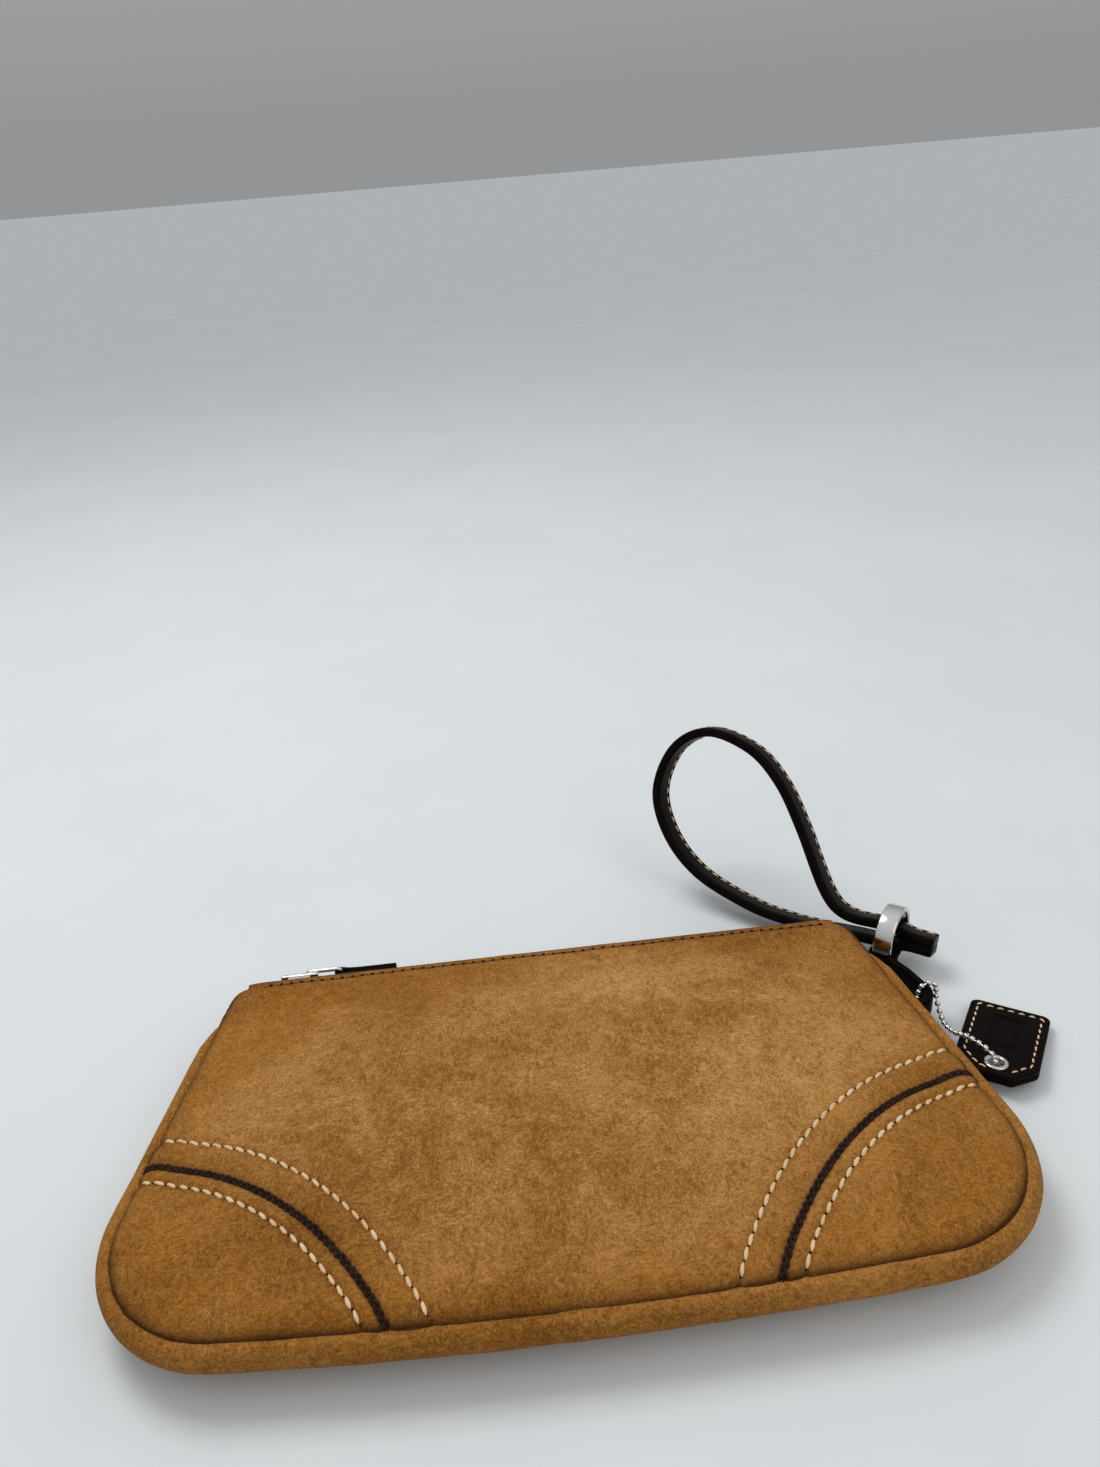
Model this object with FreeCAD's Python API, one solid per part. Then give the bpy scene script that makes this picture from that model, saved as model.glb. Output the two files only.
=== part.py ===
import FreeCAD, Part
import math
import os
from FreeCAD import Placement, Rotation, Vector

# Suede clutch purse with a wrist strap, lying on its back. Millimetres.
# +X points to the strap side, +Y to the zip, +Z out of the front panel.
# The origin is the middle of the back panel's resting face.

# ---- pouch ----
SEAM_HALF_WIDTH = 95.0       # widest half width of the front seam
TOP_HALF_WIDTH = 82.0        # half width at the mouth
BODY_HEIGHT = 105.0          # bottom seam to mouth edge
CORNER_RADIUS = 27.0         # lower corners
TOP_CORNER_RADIUS = 6.0      # upper corners
BOTTOM_SAG = 2.5             # how far the bottom edge bows out
SEAM_Z = 14.0                # height of the front seam above the resting face
CROWN = 6.0                  # how far the stuffed front stands above its seam
BACK_SEAM_Z = 7.6            # height of the back seam, lifted by the stuffing
BACK_CROWN = 10.5            # drop of the back below its seam, if it were not flattened where it rests
OUTSIDE_FULLNESS = -0.6      # lowest value of the stuffing formula, beyond the seam
SUEDE = 1.6                  # thickness of the suede
BAND_BULGE = 3.2             # how far the edge band stands outside the seam
BAND_TOP_Y = 40.0            # the edge band ends here, below the mouth

# ---- corner patches ----
PATCH_CENTRE_X = 115.2
PATCH_CENTRE_Y = -91.9
PATCH_RADIUS = 88.0          # patch seam, under the cord
OUTER_STITCH_RADIUS = 95.3
INNER_STITCH_RADIUS = 84.2
CORD_WIDTH = 1.5
STITCH_WIDTH = 0.8
THREAD_INSET = 1.0           # cords and stitch rows end this far inside the seam
STITCH_HEIGHT = 0.4
TOP_STITCH_INSET = 2.5       # topstitch row below the mouth edge

# ---- lining and pocket ----
LINING = 0.6
LINING_GAP = 0.3
LINING_INSET = 3.0
LINING_TOP_Y = 45.5
POCKET_HALF_WIDTH = 46.0
POCKET_LOW_Y = -23.0
POCKET_HIGH_Y = 23.0
POCKET_HEIGHT = 1.4

# ---- zip ----
TAPE = 0.7
TAPE_HALF_LENGTH = 75.5
TAPE_HIDDEN_Y = 46.0         # inner edge of each tape, under the panel
ZIP_FACE_Y = 52.3            # outer edge of the tapes, where the teeth start
CHAIN_Z = 10.8               # middle of the tooth chain
TOOTH_PITCH = 2.0
TOOTH_WIDTH = 0.8
TOOTH_DEPTH = 2.0
TOOTH_REACH = 0.45           # a tooth passes the middle of the chain by this
TEETH_PER_SIDE = 70
ROW_HALF_HEIGHT = 1.5
ROW_SPINE = 0.6
STOP_LENGTH = 2.0

SLIDER_X = -66.0             # middle of the slider when the zip is closed
SLIDER_LENGTH = 10.0
SLIDER_HALF_HEIGHT = 2.9
SLIDER_PLATE = 1.1
SLIDER_CORNER = 2.0
SLIDER_GAP = 0.2
FLANGE = 1.2
FLANGE_INSET = 2.0           # the flanges are shorter than the plate by this at each end
BAIL_THICKNESS = 0.9
BAIL_HALF_LENGTH = 3.6
BAIL_HEIGHT = 2.6
BAIL_WIDTH = 2.0
LINK_WIRE = 1.2
LINK_LENGTH = 9.0
LINK_HALF_WIDTH = 2.3
LINK_GAP = 0.25              # between the link's wire and the bail, or the pull's eye
EYE_GAP = 0.15
PULL_LENGTH = 15.0
PULL_WIDTH = 3.0
PULL_PLY = 1.0

# ---- strap ring and strap ----
RING_CENTRE = Vector(95.0, 49.5, 9.0)
RING_AXIS_DEG = -38.0        # direction of the ring's axis in plan
RING_RADIUS = 8.6
RING_WALL = 1.2
RING_WIDTH = 5.0
BAR_RADIUS = 0.8
STRAP_WIDTH = 7.6
STRAP_LEAN_DEG = 22.0        # the loop leans back from upright, about the ring's axis
STRAP_SHIFT = 1.6            # the strap sits this far to one side in the ring
STRAP_THICKNESS = 2.6
STRAP_SLOT = 2.2             # gap between the plies at the ring's bar
STRAP_TAIL = 11.5
STRAP_TAIL_HALF = 2.6
STRAP_STITCH_INSET = 0.9     # the one stitch row runs this far inside the strap's far edge
# centre line of the strap in its own plane: distance out from the ring, height above its centre
STRAP_LINE = [
    (-1.5, 2.4), (1.5, 2.4), (5.2, 2.2), (9.2, 1.9), (13.0, 2.2), (16.6, 3.8), (19.8, 7.0), (23.2, 12.0),
    (30.0, 23.2), (38.2, 34.2), (48.4, 41.8), (62.4, 44.2), (72.4, 37.2), (75.8, 23.4), (70.0, 11.0),
    (58.4, 1.8), (41.3, -3.2), (28.7, -4.2), (18.0, -3.7), (9.0, -2.8), (3.0, -2.4), (-1.5, -2.4),
]

# ---- anchor tab ----
TAB_ROOT = Vector(86.0, 22.5, 0.0)
TAB_BEND_CENTRE = Vector(92.3, 26.5, 0.0)
TAB_BEND_RADIUS = 4.0
TAB_THICKNESS = 1.8
TAB_LOW_Z = 4.0
TAB_HIGH_Z = 9.4
TAB_SHORT = 0.8              # the strip ends this far before the eye's hole
TAB_SLOT = 2.2               # width of the slot in the edge band
TAB_START_X = 88.0           # the tab is cut off here, against the panels' edges
EYE_OFFSET = 6.98            # eye centre, from the ring's centre towards the purse
EYE_LOW_Z = 3.8
EYE_HIGH_Z = 7.6
EYE_HALF_ALONG = 2.9         # along the ring's axis
EYE_HALF_ACROSS = 2.0
EYE_WALL = 0.9
EYE_CORNER = 0.6

# ---- hangtag ----
TAG_TOP_MIDDLE = Vector(117.0, 23.3, 0.0)
TAG_DIRECTION_DEG = -123.4   # from the tag's top edge to its eyelet, in plan
TAG_TILT_DEG = 6.5           # the eyelet end is raised on the chain
TAG_HALF_WIDTH = 9.5
TAG_LENGTH = 29.0
TAG_CHAMFER_ALONG = 6.0
TAG_CHAMFER_ACROSS = 5.0
TAG_CORNER = 2.0
TAG_PLY = 1.4
TAG_STITCH_INSET = 1.5
EYELET_ALONG = 24.5
EYELET_HOLE = 1.7
EYELET_TUBE = 0.4
EYELET_FLANGE = 2.9
EYELET_FLANGE_HEIGHT = 0.3

# ---- ball chain: a closed loop round the anchor tab and through the eyelet ----
BEAD_RADIUS = 0.75
BEAD_PITCH = 1.95
WIRE_RADIUS = 0.22
STRAIGHT = 0.02                # a bead this near the line between its neighbours is on a straight run
CHAIN_ROUTE = [
    (98.6, 26.9, 6.4), (98.2, 26.9, 9.9), (96.2, 26.9, 11.0), (94.2, 26.9, 9.6), (93.8, 26.9, 6.0),
    (94.0, 26.2, 2.9), (95.5, 24.2, 1.2), (97.4, 18.8, 1.0), (99.3, 12.4, 1.0), (101.1, 6.5, 1.1),
    (103.0, 3.5, 1.7), (103.5, 2.8, 4.2), (103.1, 3.7, 7.1), (101.7, 6.7, 7.9), (99.8, 10.9, 7.2),
    (98.6, 15.0, 5.0), (98.2, 19.6, 3.5), (98.5, 24.0, 3.9),
]
LONG = 300.0
HIGH = 75.0                  # above the whole pouch
PARALLEL = 0.9               # edges whose direction passes this share of an axis lie along it
FLAT = 1e-6


def save(name, shape):
    """Write one piece to its own file and print its size."""
    shape.exportStep(os.path.join("parts", name + ".step"))
    print(f"{name}: {len(shape.Solids)} solid(s), {shape.Volume:.1f} mm3, valid {shape.isValid()}")


def box(low, high):
    size = high - low
    return Part.makeBox(size.x, size.y, size.z, low)


def prism(wire, low_z, high_z):
    """Extrude a flat closed wire between two heights."""
    flat = wire.copy()
    flat.translate(Vector(0, 0, low_z))
    return Part.Face(flat).extrude(Vector(0, 0, high_z - low_z))


def arc(start, middle, end):
    return Part.Arc(start, middle, end).toShape()


def line(start, end):
    return Part.LineSegment(start, end).toShape()


def around(centre, radius, angle):
    return centre + Vector(radius * math.cos(angle), radius * math.sin(angle), 0)


def mirrored(shape):
    return shape.mirror(Vector(0, 0, 0), Vector(1, 0, 0))


# ---- outline of the pouch in plan ----

def right_outline():
    """Right half of the seam, as edges from the bottom middle up to the mouth's middle, with key points."""
    low_y = -BODY_HEIGHT / 2
    corner_x = SEAM_HALF_WIDTH - CORNER_RADIUS
    bottom_radius = (corner_x ** 2 + BOTTOM_SAG ** 2) / (2 * BOTTOM_SAG)
    bottom_centre = Vector(0, low_y + bottom_radius, 0)
    corner_y = bottom_centre.y - math.sqrt((bottom_radius - CORNER_RADIUS) ** 2 - corner_x ** 2)
    corner = Vector(corner_x, corner_y, 0)
    turn = math.atan2(corner.y - bottom_centre.y, corner.x)
    peak = Vector(TOP_HALF_WIDTH, BODY_HEIGHT / 2, 0)
    towards = peak - corner
    leave = math.atan2(towards.y, towards.x) - math.acos(CORNER_RADIUS / towards.Length)

    bottom_middle = Vector(0, low_y, 0)
    corner_start = around(corner, CORNER_RADIUS, turn)
    corner_middle = around(corner, CORNER_RADIUS, (turn + leave) / 2)
    side_start = around(corner, CORNER_RADIUS, leave)
    bottom_quarter = around(bottom_centre, bottom_radius, (turn - math.pi / 2) / 2)

    side = (side_start - peak).normalize()
    mouth = Vector(-1, 0, 0)
    half_angle = side.getAngle(mouth) / 2
    cut = TOP_CORNER_RADIUS / math.tan(half_angle)
    bisector = (side + mouth).normalize()
    peak_centre = peak + bisector * (TOP_CORNER_RADIUS / math.sin(half_angle))
    peak_middle = peak_centre - bisector * TOP_CORNER_RADIUS

    edges = [
        arc(bottom_middle, bottom_quarter, corner_start),
        arc(corner_start, corner_middle, side_start),
        line(side_start, peak + side * cut),
        arc(peak + side * cut, peak_middle, peak + mouth * cut),
        line(peak + mouth * cut, Vector(0, BODY_HEIGHT / 2, 0)),
    ]
    return edges, side_start, side


RIGHT_EDGES, SIDE_START, SIDE_DIRECTION = right_outline()


def outline(inset=0.0):
    """Closed seam outline of the panels, moved inwards by inset."""
    left_edges = [mirrored(edge) for edge in RIGHT_EDGES]
    wire = Part.Wire(Part.__sortEdges__(RIGHT_EDGES + left_edges))
    if inset:
        wire = wire.makeOffset2D(-inset)
    return wire


def side_x(y):
    """Half width of the seam at a height y on the straight side."""
    return SIDE_START.x + SIDE_DIRECTION.x * (y - SIDE_START.y) / SIDE_DIRECTION.y


# ---- stuffed front and back surfaces ----

def fullness(x, y):
    """Share of the stuffing's height, 1 in the middle, 0 on the seam and below 0 outside it."""
    up = (y + BODY_HEIGHT / 2) / BODY_HEIGHT
    half_width = min(SEAM_HALF_WIDTH, side_x(y))
    across = max(1 - (x / half_width) ** 4, OUTSIDE_FULLNESS)
    along = max(1 - (2 * up - 1) ** 2, OUTSIDE_FULLNESS)
    return across * along if across > 0 or along > 0 else OUTSIDE_FULLNESS


def stuffed_face(seam_z, crown):
    """A smooth face that reaches past the seam, crown above it in the middle."""
    columns = 25
    rows = 15
    margin = 6.0
    reach_x = SEAM_HALF_WIDTH + margin
    reach_y = BODY_HEIGHT / 2 + margin
    grid = []
    for column in range(columns):
        x = -reach_x + 2 * reach_x * column / (columns - 1)
        ys = [-reach_y + 2 * reach_y * row / (rows - 1) for row in range(rows)]
        grid.append([Vector(x, y, seam_z + crown * fullness(x, y)) for y in ys])
    surface = Part.BSplineSurface()
    surface.interpolate(grid)
    return surface.toShape()


FRONT_FACE = stuffed_face(SEAM_Z, CROWN)
BACK_FACE = stuffed_face(BACK_SEAM_Z, -BACK_CROWN)


def crown_layer(drop, thickness):
    """A sheet parallel to the front surface, its top face lowered by drop."""
    face = FRONT_FACE.copy()
    face.translate(Vector(0, 0, -drop))
    return face.extrude(Vector(0, 0, -thickness))


def above_back(lift, plan):
    """Space over the back panel's outer face raised by lift. It is flat where the purse rests."""
    face = BACK_FACE.copy()
    face.translate(Vector(0, 0, lift))
    rest = box(Vector(-LONG, -LONG, lift), Vector(LONG, LONG, HIGH))
    return face.extrude(Vector(0, 0, LONG)).common(plan).common(rest)


def patch_disc(radius, side):
    centre = Vector(side * PATCH_CENTRE_X, PATCH_CENTRE_Y, -LONG / 2)
    return Part.makeCylinder(radius, LONG, centre)


def patch_ring(radius, width, side):
    return patch_disc(radius + width / 2, side).cut(patch_disc(radius - width / 2, side))


# ---- soft pieces of the pouch ----

def make_panels():
    plan = prism(outline(), 0, LONG)
    front = crown_layer(0, SUEDE).common(plan)
    patches = {}
    for side, name in ((-1, "left"), (1, "right")):
        disc = patch_disc(PATCH_RADIUS, side)
        patches[name] = front.common(disc)
        front = front.cut(disc)
    save("front_panel", front)
    save("front_corner_left", patches["left"])
    save("front_corner_right", patches["right"])
    plan = prism(outline(), 0, HIGH)
    save("back_panel", above_back(0, plan).cut(above_back(SUEDE, plan)))


def make_surface_threads():
    """Cords and stitch lines that lie on the front panel, as low strips that follow its crown."""
    inner_plan = prism(outline(THREAD_INSET), 0, LONG)
    stitch_skin = crown_layer(-STITCH_HEIGHT, STITCH_HEIGHT).common(inner_plan)
    cord_skin = crown_layer(-CORD_WIDTH / 2, CORD_WIDTH / 2).common(inner_plan)
    for side, name in ((-1, "left"), (1, "right")):
        save("corner_cord_" + name, cord_skin.common(patch_ring(PATCH_RADIUS, CORD_WIDTH, side)))
        for radius, row in ((OUTER_STITCH_RADIUS, "outer"), (INNER_STITCH_RADIUS, "inner")):
            ring = patch_ring(radius, STITCH_WIDTH, side)
            save(f"corner_stitches_{row}_{name}", stitch_skin.common(ring))

    row_y = BODY_HEIGHT / 2 - TOP_STITCH_INSET
    half_length = TOP_HALF_WIDTH - TOP_CORNER_RADIUS
    strip = box(
        Vector(-half_length, row_y - STITCH_WIDTH / 2, 0),
        Vector(half_length, row_y + STITCH_WIDTH / 2, LONG),
    )
    save("top_stitches_front", stitch_skin.common(strip))


def make_edge_band():
    """Rounded band round both sides and the bottom, swept with a thin bowed section."""
    middle_z = (BACK_SEAM_Z + SEAM_Z) / 2
    top = SIDE_START + SIDE_DIRECTION * ((BAND_TOP_Y - SIDE_START.y) / SIDE_DIRECTION.y)
    outward = Vector(-SIDE_DIRECTION.y, SIDE_DIRECTION.x, 0)

    def at(out, z):
        return top + outward * out + Vector(0, 0, z)

    inner_low = BACK_SEAM_Z + SUEDE
    inner_high = SEAM_Z - SUEDE
    section = Part.Wire([
        arc(at(0, BACK_SEAM_Z), at(BAND_BULGE, middle_z), at(0, SEAM_Z)),
        line(at(0, SEAM_Z), at(0, inner_high)),
        arc(at(0, inner_high), at(BAND_BULGE - SUEDE, middle_z), at(0, inner_low)),
        line(at(0, inner_low), at(0, BACK_SEAM_Z)),
    ])
    right_path = [line(top, SIDE_START), RIGHT_EDGES[1], RIGHT_EDGES[0]]
    path = Part.Wire(Part.__sortEdges__(right_path))
    half = path.makePipeShell([section], True, False)
    band = half.fuse(mirrored(half)).removeSplitter()
    save("edge_band", band.cut(tab_strip(TAB_SLOT)))


def make_lining():
    """Lining bag: a front sheet, and a back sheet with a rim that stands up to the front one."""
    below_mouth = box(Vector(-LONG, -LONG, 0), Vector(LONG, LINING_TOP_Y, LONG))
    outer_plan = prism(outline(LINING_INSET), 0, HIGH)
    sheet_drop = SUEDE + LINING_GAP
    save("lining_front", crown_layer(sheet_drop, LINING).common(outer_plan).common(below_mouth))

    inner_plan = prism(outline(LINING_INSET + LINING), 0, HIGH)
    under_front = crown_layer(sheet_drop + LINING, LONG)
    bag = above_back(sheet_drop, outer_plan).cut(above_back(sheet_drop + LINING, inner_plan))
    save("lining_back", bag.common(under_front).common(below_mouth))

    pocket_z = sheet_drop + LINING
    outer = box(
        Vector(-POCKET_HALF_WIDTH, POCKET_LOW_Y, pocket_z),
        Vector(POCKET_HALF_WIDTH, POCKET_HIGH_Y, pocket_z + POCKET_HEIGHT),
    )
    hollow = box(
        Vector(-POCKET_HALF_WIDTH + LINING, POCKET_LOW_Y + LINING, pocket_z),
        Vector(POCKET_HALF_WIDTH - LINING, POCKET_HIGH_Y, pocket_z + POCKET_HEIGHT - LINING),
    )
    save("card_pocket", outer.cut(hollow))


# ---- zip ----

def bar_x(start, end, low_y, high_y, low_z, high_z):
    return box(Vector(start, low_y, low_z), Vector(end, high_y, high_z))


def make_zip_tapes():
    length = (-TAPE_HALF_LENGTH, TAPE_HALF_LENGTH)
    front_z = SEAM_Z - SUEDE
    back_z = BACK_SEAM_Z + SUEDE
    save("zip_tape_front", bar_x(*length, TAPE_HIDDEN_Y, ZIP_FACE_Y, front_z - TAPE, front_z))
    save("zip_tape_back", bar_x(*length, TAPE_HIDDEN_Y, ZIP_FACE_Y, back_z, back_z + TAPE))


def tooth_row(side, shift):
    """One comb of teeth, cut as a single outline. side is 1 for the front row and -1 for the back row."""
    spine = CHAIN_Z + side * ROW_HALF_HEIGHT
    root = CHAIN_Z + side * (ROW_HALF_HEIGHT - ROW_SPINE)
    tip = CHAIN_Z - side * TOOTH_REACH
    start = -TEETH_PER_SIDE * TOOTH_PITCH / 2
    points = [Vector(start, ZIP_FACE_Y, spine)]
    for tooth in range(TEETH_PER_SIDE):
        left = start + tooth * TOOTH_PITCH + shift
        right = left + TOOTH_WIDTH
        for x, z in ((left, root), (left, tip), (right, tip), (right, root)):
            points.append(Vector(x, ZIP_FACE_Y, z))
    points.insert(1, Vector(start, ZIP_FACE_Y, root))
    end = -start + TOOTH_PITCH
    points.append(Vector(end, ZIP_FACE_Y, root))
    points.append(Vector(end, ZIP_FACE_Y, spine))
    points.append(points[0])
    return Part.Face(Part.makePolygon(points)).extrude(Vector(0, TOOTH_DEPTH, 0))


def make_zip_teeth():
    margin = (TOOTH_PITCH - 2 * TOOTH_WIDTH) / 4
    save("zip_teeth_front", tooth_row(1, margin))
    save("zip_teeth_back", tooth_row(-1, margin + TOOTH_PITCH / 2))
    row_start = -TEETH_PER_SIDE * TOOTH_PITCH / 2
    row_end = -row_start + TOOTH_PITCH
    low_z = CHAIN_Z - ROW_HALF_HEIGHT
    high_z = CHAIN_Z + ROW_HALF_HEIGHT
    outer_y = ZIP_FACE_Y + TOOTH_DEPTH
    inner_y = ZIP_FACE_Y
    save("zip_stop_end", bar_x(row_start - STOP_LENGTH, row_start, inner_y, outer_y, low_z, high_z))
    save("zip_stop_start", bar_x(row_end, row_end + STOP_LENGTH, inner_y, outer_y, low_z, high_z))


def make_slider():
    start = SLIDER_X - SLIDER_LENGTH / 2
    end = SLIDER_X + SLIDER_LENGTH / 2
    plate_y = ZIP_FACE_Y + TOOTH_DEPTH + SLIDER_GAP
    flange_y = ZIP_FACE_Y + TAPE + SLIDER_GAP
    top_y = plate_y + SLIDER_PLATE
    low_z = CHAIN_Z - SLIDER_HALF_HEIGHT
    high_z = CHAIN_Z + SLIDER_HALF_HEIGHT
    body = bar_x(start, end, plate_y, top_y, low_z, high_z)
    corners = [edge for edge in body.Edges if abs(edge.tangentAt(edge.FirstParameter).y) > PARALLEL]
    body = body.makeFillet(SLIDER_CORNER, corners)
    flange = (start + FLANGE_INSET, end - FLANGE_INSET, flange_y, plate_y)
    body = body.fuse(bar_x(*flange, low_z, low_z + FLANGE))
    body = body.fuse(bar_x(*flange, high_z - FLANGE, high_z))
    bail_low = CHAIN_Z - BAIL_WIDTH / 2
    bail_high = CHAIN_Z + BAIL_WIDTH / 2
    bail_start = SLIDER_X - BAIL_HALF_LENGTH
    bail_end = SLIDER_X + BAIL_HALF_LENGTH
    bail = bar_x(bail_start, bail_end, top_y, top_y + BAIL_HEIGHT, bail_low, bail_high)
    hole = bar_x(
        bail_start + BAIL_THICKNESS, bail_end - BAIL_THICKNESS,
        top_y, top_y + BAIL_HEIGHT - BAIL_THICKNESS, bail_low, bail_high,
    )
    save("zip_slider", body.fuse(bail.cut(hole)).removeSplitter())


def link_places():
    """Centres of the link's two cross wires, in plan."""
    y = ZIP_FACE_Y + TOOTH_DEPTH + SLIDER_GAP + SLIDER_PLATE + (BAIL_HEIGHT - BAIL_THICKNESS) / 2
    near_x = SLIDER_X + BAIL_HALF_LENGTH - BAIL_THICKNESS - LINK_WIRE / 2 - LINK_GAP
    return Vector(near_x, y, 0), Vector(near_x + LINK_LENGTH, y, 0)


def make_pull():
    near, far = link_places()
    radius = LINK_WIRE / 2
    low = CHAIN_Z - LINK_HALF_WIDTH
    high = CHAIN_Z + LINK_HALF_WIDTH
    link = None
    for place in (near, far):
        wire = Part.makeCylinder(radius, high - low, place + Vector(0, 0, low))
        link = wire if link is None else link.fuse(wire)
    for z in (low, high):
        link = link.fuse(Part.makeCylinder(radius, LINK_LENGTH, near + Vector(0, 0, z), Vector(1, 0, 0)))
        for place in (near, far):
            link = link.fuse(Part.makeSphere(radius, place + Vector(0, 0, z)))
    save("zip_pull_link", link.removeSplitter())

    low_z = CHAIN_Z - PULL_WIDTH / 2
    eye_radius = radius + EYE_GAP
    eye = Part.makeCylinder(eye_radius + PULL_PLY, PULL_WIDTH, far + Vector(0, 0, low_z))
    strip = box(far + Vector(0, -PULL_PLY, low_z), far + Vector(PULL_LENGTH, PULL_PLY, low_z + PULL_WIDTH))
    hole = Part.makeCylinder(eye_radius, PULL_WIDTH, far + Vector(0, 0, low_z))
    save("zip_pull", eye.fuse(strip).cut(hole).removeSplitter())


# ---- anchor tab, ring and strap ----

RING_ANGLE = math.radians(RING_AXIS_DEG)
RING_AXIS = Vector(math.cos(RING_ANGLE), math.sin(RING_ANGLE), 0)
RING_ACROSS = Vector(-math.sin(RING_ANGLE), math.cos(RING_ANGLE), 0)
EYE_CENTRE = Vector(RING_CENTRE.x, RING_CENTRE.y, 0) - RING_ACROSS * EYE_OFFSET
STRAP_LEAN = math.radians(STRAP_LEAN_DEG)
STRAP_ACROSS = RING_ACROSS * math.cos(STRAP_LEAN) - Vector(0, 0, math.sin(STRAP_LEAN))
STRAP_UP = RING_ACROSS * math.sin(STRAP_LEAN) + Vector(0, 0, math.cos(STRAP_LEAN))


def tab_strip(thickness):
    """The tab from its root in the side seam, round one bend, to the ring's eye."""
    towards = EYE_CENTRE - TAB_BEND_CENTRE
    leave = math.atan2(towards.y, towards.x) - math.acos(TAB_BEND_RADIUS / towards.Length)
    half = thickness / 2

    def bend_point(offset, angle):
        return around(TAB_BEND_CENTRE, TAB_BEND_RADIUS + offset, angle)

    heading = Vector(-math.sin(leave), math.cos(leave), 0)
    reach = (EYE_CENTRE - bend_point(0, leave)).dot(heading) - EYE_HALF_ALONG - TAB_SHORT
    start = -math.pi / 2
    middle = (start + leave) / 2
    outer_root = Vector(TAB_ROOT.x, TAB_ROOT.y - half, 0)
    inner_root = Vector(TAB_ROOT.x, TAB_ROOT.y + half, 0)
    outer_end = bend_point(half, leave) + heading * reach
    inner_end = bend_point(-half, leave) + heading * reach
    wire = Part.Wire([
        line(outer_root, bend_point(half, start)),
        arc(bend_point(half, start), bend_point(half, middle), bend_point(half, leave)),
        line(bend_point(half, leave), outer_end),
        line(outer_end, inner_end),
        line(inner_end, bend_point(-half, leave)),
        arc(bend_point(-half, leave), bend_point(-half, middle), bend_point(-half, start)),
        line(bend_point(-half, start), inner_root),
        line(inner_root, outer_root),
    ])
    return prism(wire, TAB_LOW_Z, TAB_HIGH_Z)


def eye_block(half_along, half_across, corner, low_z, high_z):
    """A rounded block at the ring's eye, its long side along the ring's axis."""
    block = box(Vector(-half_along, -half_across, low_z), Vector(half_along, half_across, high_z))
    uprights = [edge for edge in block.Edges if abs(edge.tangentAt(edge.FirstParameter).z) > PARALLEL]
    block = block.makeFillet(corner, uprights)
    block.Placement = Placement(EYE_CENTRE, Rotation(Vector(0, 0, 1), RING_AXIS_DEG))
    return block


def make_anchor_tab():
    along = EYE_HALF_ALONG
    across = EYE_HALF_ACROSS
    wall = eye_block(along + EYE_WALL, across + EYE_WALL, EYE_CORNER + EYE_WALL, EYE_LOW_Z, EYE_HIGH_Z)
    hole = eye_block(along, across, EYE_CORNER, 0, LONG)
    tab = tab_strip(TAB_THICKNESS).fuse(wall).cut(hole).removeSplitter()
    save("anchor_tab", tab.cut(box(Vector(0, 0, 0), Vector(TAB_START_X, LONG, LONG))))


def make_ring():
    base = RING_CENTRE - RING_AXIS * (RING_WIDTH / 2)
    outer = Part.makeCylinder(RING_RADIUS, RING_WIDTH, base, RING_AXIS)
    inner = Part.makeCylinder(RING_RADIUS - RING_WALL, RING_WIDTH, base, RING_AXIS)
    bar_half = RING_RADIUS - RING_WALL / 2
    bar = Part.makeCylinder(BAR_RADIUS, 2 * bar_half, RING_CENTRE - STRAP_ACROSS * bar_half, STRAP_ACROSS)
    save("strap_ring", outer.cut(inner).fuse(bar).removeSplitter())


def strap_point(out, height, across):
    base = RING_CENTRE + STRAP_ACROSS * (STRAP_SHIFT + across)
    return base - RING_AXIS * out + STRAP_UP * height


def strap_curves():
    """Outer and inner edges of the strap's loop, in its own plane, as points and curves."""
    flat = [Vector(out, height, 0) for out, height in STRAP_LINE]
    centre = Part.BSplineCurve()
    centre.interpolate(flat)
    samples = 40
    edges = {1: [], -1: []}
    for sample in range(samples + 1):
        at = centre.FirstParameter + (centre.LastParameter - centre.FirstParameter) * sample / samples
        place = centre.value(at)
        along = centre.tangent(at)[0]
        left = Vector(-along.y, along.x, 0)
        for side in edges:
            edges[side].append(place + left * (side * STRAP_THICKNESS / 2))
    return edges[1], edges[-1]


def make_strap():
    outer_flat, inner_flat = strap_curves()
    near = -STRAP_WIDTH / 2

    def placed(points):
        return [strap_point(point.x, point.y, near) for point in points]

    def spline(points):
        curve = Part.BSplineCurve()
        curve.interpolate(points)
        return curve.toShape()

    outer = placed(outer_flat)
    inner = placed(inner_flat)
    tail_top = strap_point(-STRAP_TAIL, STRAP_TAIL_HALF, near)
    tail_low = strap_point(-STRAP_TAIL, -STRAP_TAIL_HALF, near)
    slot_tip = strap_point(inner_flat[0].x - STRAP_SLOT / 2, 0, near)
    outside = Part.Wire([
        spline(outer), line(outer[-1], tail_low), line(tail_low, tail_top), line(tail_top, outer[0]),
    ])
    inside = Part.Wire([spline(inner), arc(inner[-1], slot_tip, inner[0])])
    face = Part.Face(outside).cut(Part.Face(inside))
    save("wrist_strap", face.extrude(STRAP_ACROSS * STRAP_WIDTH))

    save("strap_stitches", strap_stitch_row(outer_flat, -near - STRAP_STITCH_INSET - STITCH_WIDTH))


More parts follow.
